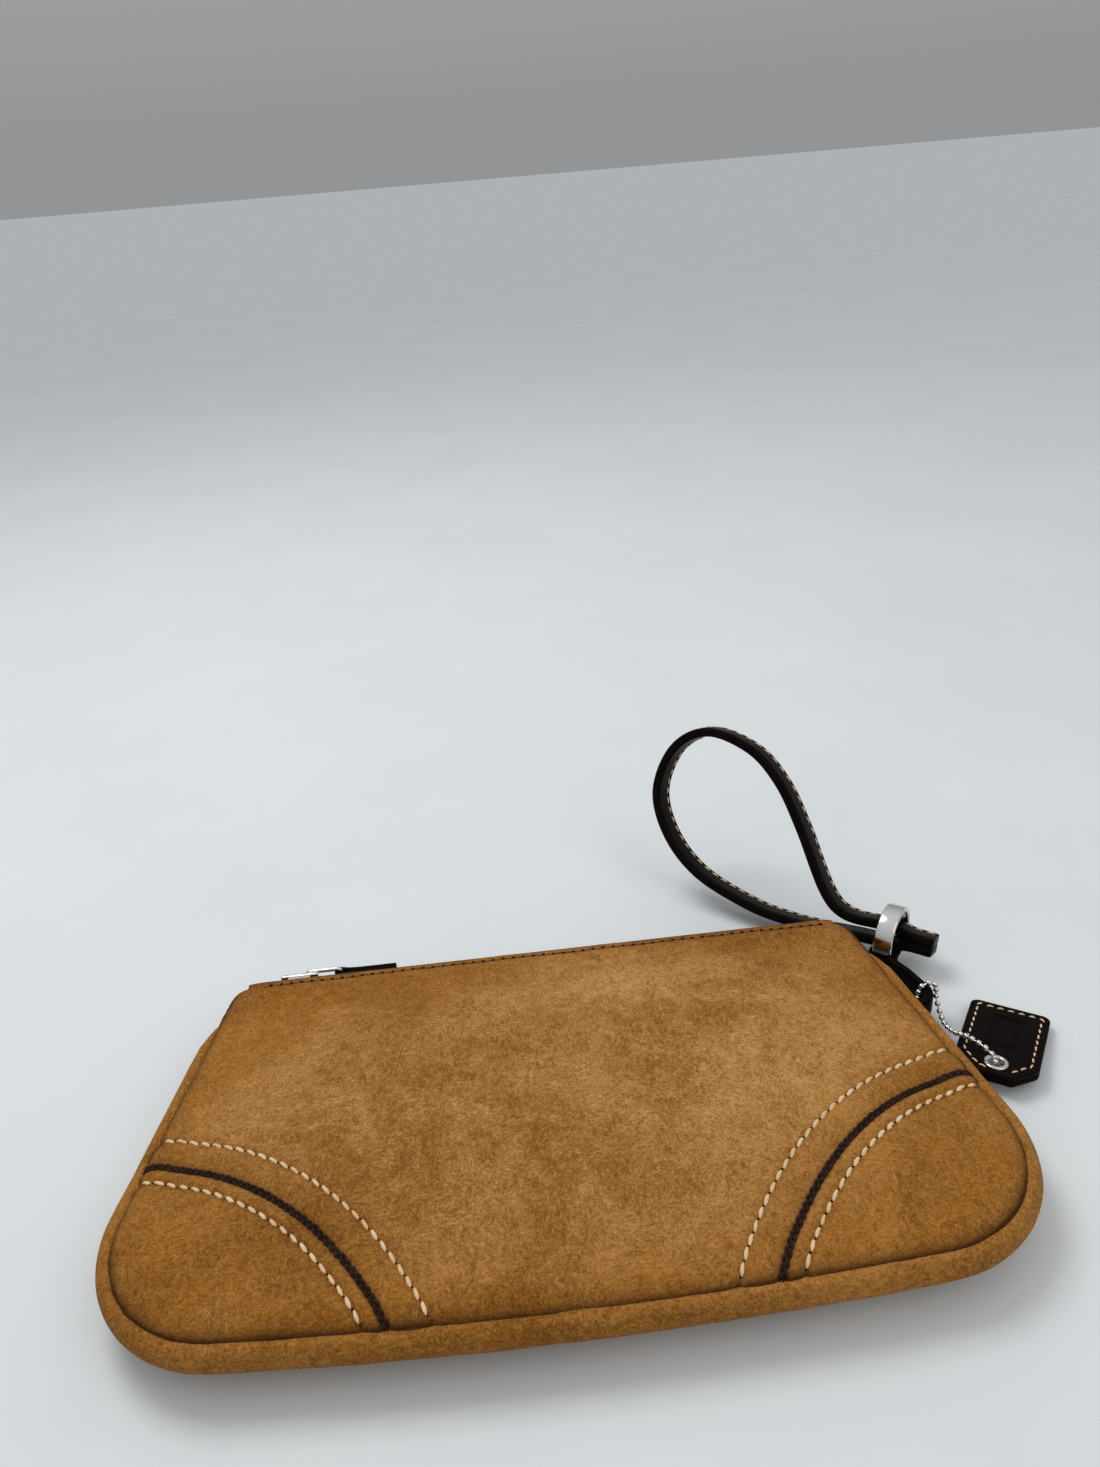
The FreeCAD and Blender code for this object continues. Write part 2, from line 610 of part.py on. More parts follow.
def strap_stitch_row(points, across):
    """A low strip on the strap's outer face, between two parallel splines."""
    count = len(points)
    low = []
    high = []
    for index in range(2, count - 2):
        before = points[index - 1]
        after = points[index + 1]
        along = (after - before).normalize()
        left = Vector(-along.y, along.x, 0)
        low.append(strap_point(points[index].x, points[index].y, across))
        lifted = points[index] + left * STITCH_HEIGHT
        high.append(strap_point(lifted.x, lifted.y, across))
    low_curve = Part.BSplineCurve()
    low_curve.interpolate(low)
    high_curve = Part.BSplineCurve()
    high_curve.interpolate(high)
    wire = Part.Wire([
        low_curve.toShape(), line(low[-1], high[-1]), high_curve.toShape(), line(high[0], low[0]),
    ])
    return Part.Face(wire).extrude(STRAP_ACROSS * STITCH_WIDTH)


# ---- hangtag and chain ----

def tag_placement():
    """Places shapes drawn with x across the tag, y along it to the eyelet and z out of its face."""
    turn = Rotation(Vector(0, 0, 1), TAG_DIRECTION_DEG - 90)
    tilt = Rotation(Vector(1, 0, 0), TAG_TILT_DEG)
    return Placement(TAG_TOP_MIDDLE, turn.multiply(tilt))


def tag_outline(inset=0.0):
    half = TAG_HALF_WIDTH
    shoulder = TAG_LENGTH - TAG_CHAMFER_ALONG
    nose = half - TAG_CHAMFER_ACROSS
    points = [
        Vector(-half, 0, 0), Vector(half, 0, 0), Vector(half, shoulder, 0),
        Vector(nose, TAG_LENGTH, 0), Vector(-nose, TAG_LENGTH, 0), Vector(-half, shoulder, 0),
    ]
    face = Part.Face(Part.makePolygon(points + [points[0]]))
    solid = face.extrude(Vector(0, 0, TAG_PLY))
    uprights = [edge for edge in solid.Edges if abs(edge.tangentAt(edge.FirstParameter).z) > PARALLEL]
    solid = solid.makeFillet(TAG_CORNER, uprights)
    flat = [face for face in solid.Faces if abs(face.CenterOfMass.z) < FLAT][0]
    wire = flat.OuterWire
    if inset:
        wire = wire.makeOffset2D(-inset)
    return wire


def placed_on_tag(shape):
    moved = shape.copy()
    moved.Placement = tag_placement()
    return moved


def make_hangtag():
    outer_hole = EYELET_HOLE + EYELET_TUBE
    hole = Part.makeCylinder(outer_hole, LONG, Vector(0, EYELET_ALONG, -LONG / 2))
    plies = {"hangtag_back": (0, TAG_PLY), "hangtag_front": (TAG_PLY, 2 * TAG_PLY)}
    for name, (low_z, high_z) in plies.items():
        save(name, placed_on_tag(prism(tag_outline(), low_z, high_z).cut(hole)))

    top_z = 2 * TAG_PLY
    row_outer = prism(tag_outline(TAG_STITCH_INSET), top_z, top_z + STITCH_HEIGHT)
    row_inner = prism(tag_outline(TAG_STITCH_INSET + STITCH_WIDTH), top_z, top_z + STITCH_HEIGHT)
    flange_space = Part.makeCylinder(EYELET_FLANGE, LONG, Vector(0, EYELET_ALONG, 0))
    save("hangtag_stitches", placed_on_tag(row_outer.cut(row_inner).cut(flange_space)))

    base = Vector(0, EYELET_ALONG, -EYELET_FLANGE_HEIGHT)
    length = top_z + 2 * EYELET_FLANGE_HEIGHT
    eyelet = Part.makeCylinder(outer_hole, length, base)
    for z in (-EYELET_FLANGE_HEIGHT, top_z):
        flange = Part.makeCylinder(EYELET_FLANGE, EYELET_FLANGE_HEIGHT, Vector(0, EYELET_ALONG, z))
        eyelet = eyelet.fuse(flange)
    eyelet = eyelet.cut(Part.makeCylinder(EYELET_HOLE, length, base)).removeSplitter()
    save("hangtag_eyelet", placed_on_tag(eyelet))


def bead(before, place, following):
    """A ball whose seam lies outside the chain's bend and whose poles stay clear of both wires."""
    along = following - before
    outside = place * 2 - following - before
    if outside.Length < STRAIGHT:
        outside = along.cross(Vector(1, 1, 1))
    ball = Part.makeSphere(BEAD_RADIUS)
    ball.Placement = Placement(place, Rotation(outside, Vector(), along.cross(outside), "ZXY"))
    return ball


def make_chain():
    """Beads at an even pitch on a closed curve, joined by short wires."""
    curve = Part.BSplineCurve()
    curve.interpolate([Vector(*point) for point in CHAIN_ROUTE], PeriodicFlag=True)
    count = round(curve.length() / BEAD_PITCH)
    places = curve.discretize(Number=count + 1)[:-1]
    pieces = []
    for index, place in enumerate(places):
        following = places[(index + 1) % count]
        before = places[index - 1]
        pieces.append(bead(before, place, following))
        step = following - place
        pieces.append(Part.makeCylinder(WIRE_RADIUS, step.Length, place, step))
    print(f"chain: {count} beads, lowest point {min(place.z for place in places) - BEAD_RADIUS:.2f}")
    save("tag_chain", pieces[0].multiFuse(pieces[1:]))


def main():
    os.makedirs("parts", exist_ok=True)
    make_panels()
    make_surface_threads()
    make_edge_band()
    make_anchor_tab()
    make_lining()
    make_zip_tapes()
    make_zip_teeth()
    make_slider()
    make_pull()
    make_ring()
    make_strap()
    make_hangtag()
    make_chain()


main()
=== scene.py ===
import math
import bpy
import numpy as np
from mathutils import Matrix, Vector
from mathutils.bvhtree import BVHTree


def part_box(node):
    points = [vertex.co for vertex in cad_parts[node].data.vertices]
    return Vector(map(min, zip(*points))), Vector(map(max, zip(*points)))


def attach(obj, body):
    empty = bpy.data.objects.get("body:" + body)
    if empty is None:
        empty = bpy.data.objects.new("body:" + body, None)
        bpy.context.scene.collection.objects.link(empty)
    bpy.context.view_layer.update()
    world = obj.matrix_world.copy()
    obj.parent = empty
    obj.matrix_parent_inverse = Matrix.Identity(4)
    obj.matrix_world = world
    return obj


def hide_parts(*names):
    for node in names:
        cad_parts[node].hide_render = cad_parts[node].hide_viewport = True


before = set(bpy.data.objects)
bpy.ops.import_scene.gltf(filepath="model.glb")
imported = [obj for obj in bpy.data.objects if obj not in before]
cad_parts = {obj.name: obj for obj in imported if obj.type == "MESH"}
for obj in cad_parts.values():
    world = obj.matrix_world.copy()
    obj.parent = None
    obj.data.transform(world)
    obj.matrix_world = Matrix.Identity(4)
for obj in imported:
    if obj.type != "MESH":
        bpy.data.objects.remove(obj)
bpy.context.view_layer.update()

# Suede clutch purse with a wrist strap. Shapes are worked out in millimetres in the frame's own axes:
# +X to the strap side, +Y to the zip, +Z out of the front panel. add_mesh turns them into metres.
MM = 0.001


def box_mm(node):
    low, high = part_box(node)
    return np.array(low) / MM, np.array(high) / MM


# ---- driving dimensions, millimetres ----
PANEL_LOW, PANEL_HIGH = box_mm("back_panel")
SEAM_HALF_WIDTH = PANEL_HIGH[0]
LOW_Y = PANEL_LOW[1]
HIGH_Y = PANEL_HIGH[1]
BODY_HEIGHT = HIGH_Y - LOW_Y
TOP_HALF_WIDTH = 82.0
CORNER_RADIUS = 27.0
TOP_CORNER_RADIUS = 6.0
BOTTOM_SAG = 2.5
SEAM_Z = 14.0
CROWN = 6.0
BACK_SEAM_Z = 7.6
BACK_CROWN = 10.5
BACK_EASE = 0.8
SUEDE = 1.6
BAND_TOP_Y = 40.0

PATCH_CENTRE = (115.2, -91.9)
CORD_RADIUS = 88.0
OUTER_STITCH_RADIUS = 95.3
INNER_STITCH_RADIUS = 84.2
PATCH_STITCH_PITCH = 3.1
PATCH_STITCH_LENGTH = 2.95
PATCH_STITCH_RADIUS = 0.43
TOP_STITCH_PITCH = 2.7
TOP_STITCH_INSET = 1.5
TOP_STITCH_LENGTH = 2.2
BRAID_STRANDS = 3
BRAID_STRAND_RADIUS = 0.36
BRAID_LAY = 5.4
BRAID_SPREAD = 0.50
BRAID_RISE = 0.34

CHAIN_Z = 10.8
ZIP_FACE_Y = 52.3
TOOTH_PITCH = 2.0
TEETH_PER_SIDE = 70
TAPE_HALF_LENGTH = 75.5

RING_CENTRE = np.array([95.0, 49.5, 9.0])
RING_ANGLE = math.radians(-38.0)
RING_AXIS = np.array([math.cos(RING_ANGLE), math.sin(RING_ANGLE), 0.0])
RING_ACROSS = np.array([-math.sin(RING_ANGLE), math.cos(RING_ANGLE), 0.0])
ALONG_X = np.array([1.0, 0.0, 0.0])
ALONG_Y = np.array([0.0, 1.0, 0.0])
UP = np.array([0.0, 0.0, 1.0])
RING_RADIUS = 8.6
RING_WALL = 1.2
RING_WIDTH = 5.0
RING_BAR_RADIUS = 0.8
STRAP_LEAN = math.radians(22.0)
STRAP_ACROSS = RING_ACROSS * math.cos(STRAP_LEAN) - UP * math.sin(STRAP_LEAN)
STRAP_UP = RING_ACROSS * math.sin(STRAP_LEAN) + UP * math.cos(STRAP_LEAN)
STRAP_WIDTH = 7.6
STRAP_THICKNESS = 2.6
STRAP_SHIFT = 1.6
STITCH_ROW = 1.9
STRAP_STITCH_PITCH = 3.2
STRAP_PLIES_PART = 15.0
# centre line of the strap in its own plane: distance out from the ring, height above its centre
STRAP_LINE = [
    (-11.3, 1.32), (-8.0, 1.33), (-4.6, 1.5), (-1.6, 2.3), (1.5, 2.4), (5.2, 2.2), (9.2, 1.9),
    (13.0, 2.2), (16.6, 3.8), (19.8, 7.0), (23.2, 12.0), (30.0, 23.2), (38.2, 34.2), (48.4, 41.8),
    (62.4, 44.2), (72.4, 37.2), (75.8, 23.4), (70.0, 11.0), (58.4, 1.8), (41.3, -3.2), (28.7, -4.2),
    (18.0, -3.7), (9.0, -2.8), (1.5, -2.4), (-1.6, -2.3), (-4.6, -1.5), (-8.0, -1.33), (-11.3, -1.32),
]

TAB_ROOT = np.array([86.0, 22.5])
TAB_BEND_CENTRE = np.array([92.3, 26.5])
TAB_BEND_RADIUS = 4.0
TAB_Z = (4.0, 9.4)
EYE_Z = (3.8, 7.6)
EYE_CENTRE = RING_CENTRE[:2] - RING_ACROSS[:2] * 6.98
EYE_HALF = (3.35, 2.45)

TAG_TOP_MIDDLE = np.array([117.0, 23.3, 0.0])
TAG_DIRECTION = math.radians(-123.4)
TAG_TILT = math.radians(6.5)
TAG_HALF_WIDTH = 9.5
TAG_LENGTH = 29.0
TAG_CHAMFER = (5.0, 6.0)
TAG_CORNER = 2.0
TAG_PLY = 1.4
TAG_STITCH_INSET = 1.9
TAG_STITCH_PITCH = 2.5
EMBOSS_ALONG = 11.0
EYELET_ALONG = 24.5
EYELET_HOLE = 1.7

BEAD_RADIUS = 0.75
BEAD_PITCH = 1.95
CHAIN_WIRE = 0.24
CHAIN_ROUTE = [
    (98.6, 26.9, 6.4), (98.2, 26.9, 9.9), (96.2, 26.9, 11.0), (94.2, 26.9, 9.6), (93.8, 26.9, 6.0),
    (94.0, 26.2, 2.9), (95.5, 24.2, 1.2), (97.4, 18.8, 1.0), (99.3, 12.4, 1.0), (101.1, 6.5, 1.1),
    (103.0, 3.5, 1.7), (103.5, 2.8, 4.2), (103.1, 3.7, 7.1), (101.7, 6.7, 7.9), (99.8, 10.9, 7.2),
    (98.6, 15.0, 5.0), (98.2, 19.6, 3.5), (98.5, 24.0, 3.9),
]

# ---- camera ----
CAMERA_PLACE = (-3.503, -185.214, 202.357)
CAMERA_PITCH = math.radians(27.234)
CAMERA_YAW = math.radians(2.487)
CAMERA_ROLL = math.radians(-4.825)
SENSOR = 36.0
LENS = 27.04


def make_camera():
    forward = Vector((
        math.sin(CAMERA_YAW) * math.cos(CAMERA_PITCH),
        math.cos(CAMERA_YAW) * math.cos(CAMERA_PITCH),
        -math.sin(CAMERA_PITCH),
    ))
    level = Vector((math.cos(CAMERA_YAW), -math.sin(CAMERA_YAW), 0.0))
    rise = level.cross(forward)
    right = level * math.cos(CAMERA_ROLL) + rise * math.sin(CAMERA_ROLL)
    up = rise * math.cos(CAMERA_ROLL) - level * math.sin(CAMERA_ROLL)
    data = bpy.data.cameras.new("camera")
    data.sensor_fit = "VERTICAL"
    data.sensor_height = SENSOR
    data.lens = LENS
    data.clip_start = 0.01
    camera = bpy.data.objects.new("camera", data)
    turn = Matrix((right, up, -forward)).transposed().to_4x4()
    camera.matrix_world = Matrix.Translation(Vector(CAMERA_PLACE) * MM) @ turn
    bpy.context.collection.objects.link(camera)
    bpy.context.scene.camera = camera


# ---- small geometry helpers ----

def smooth_step(value, low, high):
    t = np.clip((value - low) / (high - low), 0.0, 1.0)
    return t * t * (3.0 - 2.0 * t)


def unit(vectors):
    vectors = np.asarray(vectors, float)
    return vectors / np.linalg.norm(vectors, axis=-1, keepdims=True)


def soft_noise(x, y, size, seed):
    """Smooth noise from -1 to 1 over the plane, with features of the given size."""
    lattice = np.random.default_rng(seed).uniform(-1.0, 1.0, (64, 64))
    u = np.asarray(x, float) / size + 1000.0
    v = np.asarray(y, float) / size + 1000.0
    column = np.floor(u).astype(int)
    row = np.floor(v).astype(int)
    s = u - column
    t = v - row
    s = s * s * (3.0 - 2.0 * s)
    t = t * t * (3.0 - 2.0 * t)
    low = lattice[row % 64, column % 64] * (1 - s) + lattice[row % 64, (column + 1) % 64] * s
    high = lattice[(row + 1) % 64, column % 64] * (1 - s) + lattice[(row + 1) % 64, (column + 1) % 64] * s
    return low * (1 - t) + high * t


def spline(points, count, closed=False):
    """Points at an even spacing along a Catmull-Rom curve through the given points."""
    points = np.asarray(points, float)
    if closed:
        padded = np.vstack([points[-1], points, points[0], points[1]])
    else:
        padded = np.vstack([2 * points[0] - points[1], points, 2 * points[-1] - points[-2]])
    pieces = []
    for index in range(1, len(padded) - 2):
        a, b, c, d = padded[index - 1:index + 3]
        t = np.linspace(0.0, 1.0, 24, endpoint=False)[:, None]
        pieces.append(0.5 * (2 * b + (c - a) * t + (2 * a - 5 * b + 4 * c - d) * t ** 2
                             + (3 * b - a - 3 * c + d) * t ** 3))
    dense = np.vstack(pieces + [padded[-2][None]])
    return resample(dense, count, closed)


def path_lengths(points):
    steps = np.linalg.norm(np.diff(points, axis=0), axis=1)
    return np.concatenate([[0.0], np.cumsum(steps)])


def resample(points, count, closed=False, places=None):
    """Points at an even spacing, or at the given fractions, along a run of points."""
    lengths = path_lengths(points)
    if places is None:
        places = np.linspace(0.0, 1.0, count, endpoint=not closed)
    at = places * lengths[-1]
    return np.stack([np.interp(at, lengths, points[:, k]) for k in range(points.shape[1])], axis=1)


def even_loop(points, count):
    """Points at an even spacing round a closed run of points."""
    return resample(np.vstack([points, points[0]]), count, closed=True)


def strip_faces(rows, columns, wrap_rows=False, wrap_columns=False):
    """Quads of a grid of rows by columns, closed on itself where asked."""
    last_row = rows if wrap_rows else rows - 1
    last_column = columns if wrap_columns else columns - 1
    faces = []
    for row in range(last_row):
        below = row * columns
        above = ((row + 1) % rows) * columns
        for column in range(last_column):
            beside = (column + 1) % columns
            faces.append((below + column, below + beside, above + beside, above + column))
    return faces


def closed_faces(rows, sides):
    """Faces of a run of closed sections, with a face over each end."""
    first_end = tuple(range(sides))[::-1]
    last_end = tuple(range((rows - 1) * sides, rows * sides))
    return strip_faces(rows, sides, wrap_columns=True) + [first_end, last_end]


def add_mesh(name, points, faces, material):
    mesh = bpy.data.meshes.new(name)
    mesh.from_pydata((np.asarray(points, float) * MM).tolist(), [], faces)
    mesh.update()
    mesh.polygons.foreach_set("use_smooth", [True] * len(mesh.polygons))
    mesh.materials.append(material)
    piece = bpy.data.objects.new(name, mesh)
    bpy.context.collection.objects.link(piece)
    return piece


def place_piece(piece, body, slot, *nodes):
    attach(piece, body)
    if nodes:
        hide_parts(*nodes)


class Batch:
    """Many small closed shapes that make one piece."""

    def __init__(self):
        self.points = []
        self.faces = []
        self.count = 0

    def add(self, points, faces):
        self.points.append(np.asarray(points, float))
        self.faces.extend(tuple(self.count + index for index in face) for face in faces)
        self.count += len(points)

    def build(self, name, material):
        return add_mesh(name, np.vstack(self.points), self.faces, material)

    def place(self, name, material, body, slot, *nodes):
        place_piece(self.build(name, material), body, slot, *nodes)


def tube(centres, radii, sides, side_dirs, up_dirs, flatten=1.0, twist=0.0, ridges=0, depth=0.0):
    """Closed tube round the given centres, with its radius at each of them."""
    count = len(centres)
    radii = np.broadcast_to(radii, count)
    side_dirs = np.broadcast_to(side_dirs, (count, 3))
    up_dirs = np.broadcast_to(up_dirs, (count, 3))
    angles = np.linspace(0.0, 2 * math.pi, sides, endpoint=False)
    rows = []
    for index in range(count):
        t = index / (count - 1)
        wave = 1.0 + depth * np.cos(ridges * angles - twist * t) if ridges else np.ones(sides)
        around = (np.outer(np.cos(angles) * wave, side_dirs[index])
                  + np.outer(np.sin(angles) * wave * flatten, up_dirs[index]))
        rows.append(centres[index] + around * radii[index])
    return np.vstack(rows), closed_faces(count, sides)


def sweep(centres, sections, lefts, ups, closed=False):
    """Solid from one section, or one for each centre, of (left, up) offsets."""
    count = len(centres)
    sides = sections.shape[-2]
    sections = np.broadcast_to(sections, (count, sides, 2))
    lefts = np.broadcast_to(lefts, (count, 3))
    ups = np.broadcast_to(ups, (count, 3))
    points = (centres[:, None, :] + sections[:, :, 0:1] * lefts[:, None, :]
              + sections[:, :, 1:2] * ups[:, None, :]).reshape(-1, 3)
    if closed:
        return points, strip_faces(count, sides, wrap_rows=True, wrap_columns=True)
    return points, closed_faces(count, sides)


def rounded_section(half_width, half_height, corner, steps=5):
    """Points round a rounded rectangle."""
    points = []
    corners = ((1, 1, 0.0), (-1, 1, 90.0), (-1, -1, 180.0), (1, -1, 270.0))
    for sign_x, sign_y, start in corners:
        for step in range(steps):
            angle = math.radians(start + 90.0 * step / (steps - 1))
            points.append((
                sign_x * (half_width - corner) + corner * math.cos(angle),
                sign_y * (half_height - corner) + corner * math.sin(angle),
            ))
    return np.array(points)


def round_section(half_width, half_height, steps):
    """Points round an ellipse."""
    circle = np.linspace(0, 2 * math.pi, steps, endpoint=False)
    return np.stack([half_width * np.cos(circle), half_height * np.sin(circle)], axis=1)


def tangents(points, closed=False):
    if closed:
        return unit(np.roll(points, -1, axis=0) - np.roll(points, 1, axis=0))
    return unit(np.gradient(points, axis=0))


# ---- outline of the pouch in plan ----

def right_half():
    """Seam from the bottom middle to the mouth's middle, and the places of the two corners' middles."""
    corner_x = SEAM_HALF_WIDTH - CORNER_RADIUS
    bottom_radius = (corner_x ** 2 + BOTTOM_SAG ** 2) / (2 * BOTTOM_SAG)
    bottom_y = LOW_Y + bottom_radius
    corner_y = bottom_y - math.sqrt((bottom_radius - CORNER_RADIUS) ** 2 - corner_x ** 2)
    corner = np.array([corner_x, corner_y])
    turn = math.atan2(corner_y - bottom_y, corner_x)
    peak = np.array([TOP_HALF_WIDTH, HIGH_Y])
    towards = peak - corner
    distance = np.linalg.norm(towards)
    leave = math.atan2(towards[1], towards[0]) - math.acos(CORNER_RADIUS / distance)

    def on_arc(centre, radius, start, end, count):
        angles = np.linspace(start, end, count, endpoint=False)
        return np.stack([centre[0] + radius * np.cos(angles), centre[1] + radius * np.sin(angles)], axis=1)

    side_start = corner + CORNER_RADIUS * np.array([math.cos(leave), math.sin(leave)])
    side = unit(peak - side_start)
    inner_angle = math.acos(np.dot(-side, np.array([-1.0, 0.0])))
    cut = TOP_CORNER_RADIUS / math.tan(inner_angle / 2)
    side_end = peak - side * cut
    normal = np.array([side[1], -side[0]])
    peak_centre = side_end - normal * TOP_CORNER_RADIUS
    side_angle = math.atan2(normal[1], normal[0])
    bottom = on_arc((0.0, bottom_y), bottom_radius, -math.pi / 2, turn, 140)
    low_corner = on_arc(corner, CORNER_RADIUS, turn, leave, 100)
    straight = side_start + (side_end - side_start) * np.linspace(0.0, 1.0, 120, endpoint=False)[:, None]
    high_corner = on_arc(peak_centre, TOP_CORNER_RADIUS, side_angle, math.pi / 2, 30)
    mouth = np.stack([np.linspace(peak_centre[0], 0.0, 141), np.full(141, HIGH_Y)], axis=1)
    points = np.vstack([bottom, low_corner, straight, high_corner, mouth])
    return points, 140 + 50, 140 + 100 + 120 + 15, side_start, side


HALF, LOW_CORNER, HIGH_CORNER, SIDE_START, SIDE = right_half()
LOOP = np.vstack([HALF, (HALF * [-1, 1])[::-1][1:-1]])


def side_x(y):
    return SIDE_START[0] + SIDE[0] * (y - SIDE_START[1]) / SIDE[1]


def inset_half(inset, top_y=None):
    """The right half of the seam, moved inwards, and cut off at a height where asked."""
    along = tangents(HALF)
    along[0] = (1.0, 0.0)
    along[-1] = (-1.0, 0.0)
    outward = np.stack([along[:, 1], -along[:, 0]], axis=1)
    moved = HALF - outward * inset
    if top_y is not None:
        moved[:, 1] = np.minimum(moved[:, 1], top_y)
    return moved


def seam_distance(x, y):
    """Distance in plan from points to the seam."""
    flat = np.stack([np.ravel(x), np.ravel(y)], axis=1)
    result = np.empty(len(flat))
    for start in range(0, len(flat), 4000):
        part = flat[start:start + 4000]
        gap = part[:, None, :] - LOOP[None, :, :]
        result[start:start + 4000] = np.sqrt((gap ** 2).sum(axis=2).min(axis=1))
    return result.reshape(np.shape(x))


def panel_grid(inset, rows, columns, cluster, top_y=None):
    """Grid of plan points that fills the seam outline, closer together near the seam."""
    half = inset_half(inset, top_y)
    left = half * [-1, 1]

    def fractions(count):
        t = np.linspace(0.0, 1.0, count)
        return t - cluster * np.sin(2 * math.pi * t) / (2 * math.pi)

    u = fractions(columns)
    v = fractions(rows)
    bottom = np.vstack([left[:LOW_CORNER + 1][::-1], half[1:LOW_CORNER + 1]])
    right = half[LOW_CORNER:HIGH_CORNER + 1]
    top = np.vstack([left[HIGH_CORNER:], half[HIGH_CORNER:-1][::-1]])
    bottom = resample(bottom, columns, places=u)
    top = resample(top, columns, places=u)
    right = resample(right, rows, places=v)
    left = right * [-1, 1]
    u = u[None, :, None]
    v = v[:, None, None]
    grid = (1 - v) * bottom[None] + v * top[None] + (1 - u) * left[:, None] + u * right[:, None]
    corners = ((1 - u) * (1 - v) * bottom[0] + u * (1 - v) * bottom[-1]
               + (1 - u) * v * top[0] + u * v * top[-1])
    return grid - corners


def rim_indices(rows, columns):
    """Indices round the edge of a grid, anticlockwise from its first point."""
    bottom = list(range(columns - 1))
    right = [row * columns + columns - 1 for row in range(rows - 1)]
    top = [(rows - 1) * columns + column for column in range(columns - 1, 0, -1)]
    left = [row * columns for row in range(rows - 1, 0, -1)]
    return bottom + right + top + left


# ---- the stuffed shape of the front ----

def fullness(x, y):
    """Share of the stuffing's height, 1 in the middle and 0 on the seam."""
    up = np.clip((y - LOW_Y) / BODY_HEIGHT, 0.0, 1.0)
    half_width = np.minimum(SEAM_HALF_WIDTH, side_x(y))
    across = 1 - np.clip(np.abs(x) / half_width, 0.0, 1.0) ** 4
    return across * (1 - (2 * up - 1) ** 2)


def crown(x, y):
    return SEAM_Z + CROWN * fullness(x, y)


def back_rise(x, y):
    """Height of the back's outer face, eased into the flat where it rests."""
    free = BACK_SEAM_Z - BACK_CROWN * fullness(x, y)
    return (free + np.sqrt(free ** 2 + BACK_EASE ** 2)) / 2


MAP_STEP = 2.0
MAP_X = np.arange(-SEAM_HALF_WIDTH, SEAM_HALF_WIDTH + 0.1, MAP_STEP)
MAP_Y = np.arange(LOW_Y, HIGH_Y + 0.1, MAP_STEP)
PRESSURE = 4.0
SIM_VOXEL = 0.005
SIM_FRAMES = 20
SIM_CAP = 1.2


def cloth_relief():
    """How far the inflated pouch stands above the plain crown, on the map's grid."""
    grid = panel_grid(1.5, 30, 52, 0.0)
    rows, columns = grid.shape[:2]
    flat = grid.reshape(-1, 2)
    top = np.column_stack([flat, crown(flat[:, 0], flat[:, 1]) - 0.8])
    low = np.column_stack([flat, back_rise(flat[:, 0], flat[:, 1]) + 0.8])
    count = len(flat)
    faces = strip_faces(rows, columns)
    faces += [tuple(count + index for index in face[::-1]) for face in strip_faces(rows, columns)]
    rim = rim_indices(rows, columns)
    for here, there in zip(rim, rim[1:] + rim[:1]):
        faces.append((here, count + here, count + there, there))
    body = add_mesh("pouch_sim", np.vstack([top, low]), faces, None)
    remesh = body.modifiers.new("remesh", "REMESH")
    remesh.mode = "VOXEL"
    remesh.voxel_size = SIM_VOXEL
    graph = bpy.context.evaluated_depsgraph_get()
    solid = bpy.data.meshes.new_from_object(body.evaluated_get(graph))
    body.modifiers.clear()
    body.data = solid
    places = np.array([vertex.co[:] for vertex in solid.vertices]) / MM
    near = seam_distance(places[:, 0], places[:, 1])
    held = body.vertex_groups.new(name="held")
    fixed = np.nonzero((near < 5.0) | (places[:, 2] < SEAM_Z - 4.0))[0]
    held.add([int(index) for index in fixed], 1.0, "REPLACE")
    cloth = body.modifiers.new("cloth", "CLOTH")
    cloth.settings.quality = 6
    cloth.settings.mass = 0.3
    cloth.settings.tension_stiffness = 12.0
    cloth.settings.compression_stiffness = 12.0
    cloth.settings.bending_stiffness = 0.4
    cloth.settings.vertex_group_mass = "held"
    cloth.settings.use_pressure = True
    cloth.settings.uniform_pressure_force = PRESSURE
    cloth.settings.effector_weights.gravity = 0.0
    cloth.point_cache.frame_end = SIM_FRAMES
    for number in range(1, SIM_FRAMES + 1):
        bpy.context.scene.frame_set(number)
    graph = bpy.context.evaluated_depsgraph_get()
    blown = bpy.data.meshes.new_from_object(body.evaluated_get(graph))
    tree = BVHTree.FromPolygons(
        [vertex.co[:] for vertex in blown.vertices], [tuple(face.vertices) for face in blown.polygons])
    relief = np.zeros((len(MAP_Y), len(MAP_X)))
    for row, y in enumerate(MAP_Y):
        for column, x in enumerate(MAP_X):
            hit = tree.ray_cast(Vector((x * MM, y * MM, 0.2)), Vector((0, 0, -1)))[0]
            if hit is not None:
                relief[row, column] = hit.z / MM - float(crown(x, y)) + 0.8
    bpy.data.objects.remove(body)
    bpy.context.scene.frame_set(1)
    x, y = np.meshgrid(MAP_X, MAP_Y)
    inside = smooth_step(seam_distance(x, y), 4.0, 16.0)
    inside *= (np.abs(x) < np.minimum(SEAM_HALF_WIDTH, side_x(y)))
    relief = (relief - np.median(relief[inside > 0.9])) * inside
    for _ in range(3):
        spread = np.pad(relief, 1, mode="edge")
        relief = (spread[:-2, 1:-1] + spread[2:, 1:-1] + spread[1:-1, :-2] + spread[1:-1, 2:]
                  + 2 * relief) / 6
    return np.clip(relief, -SIM_CAP, SIM_CAP)


RELIEF = cloth_relief()


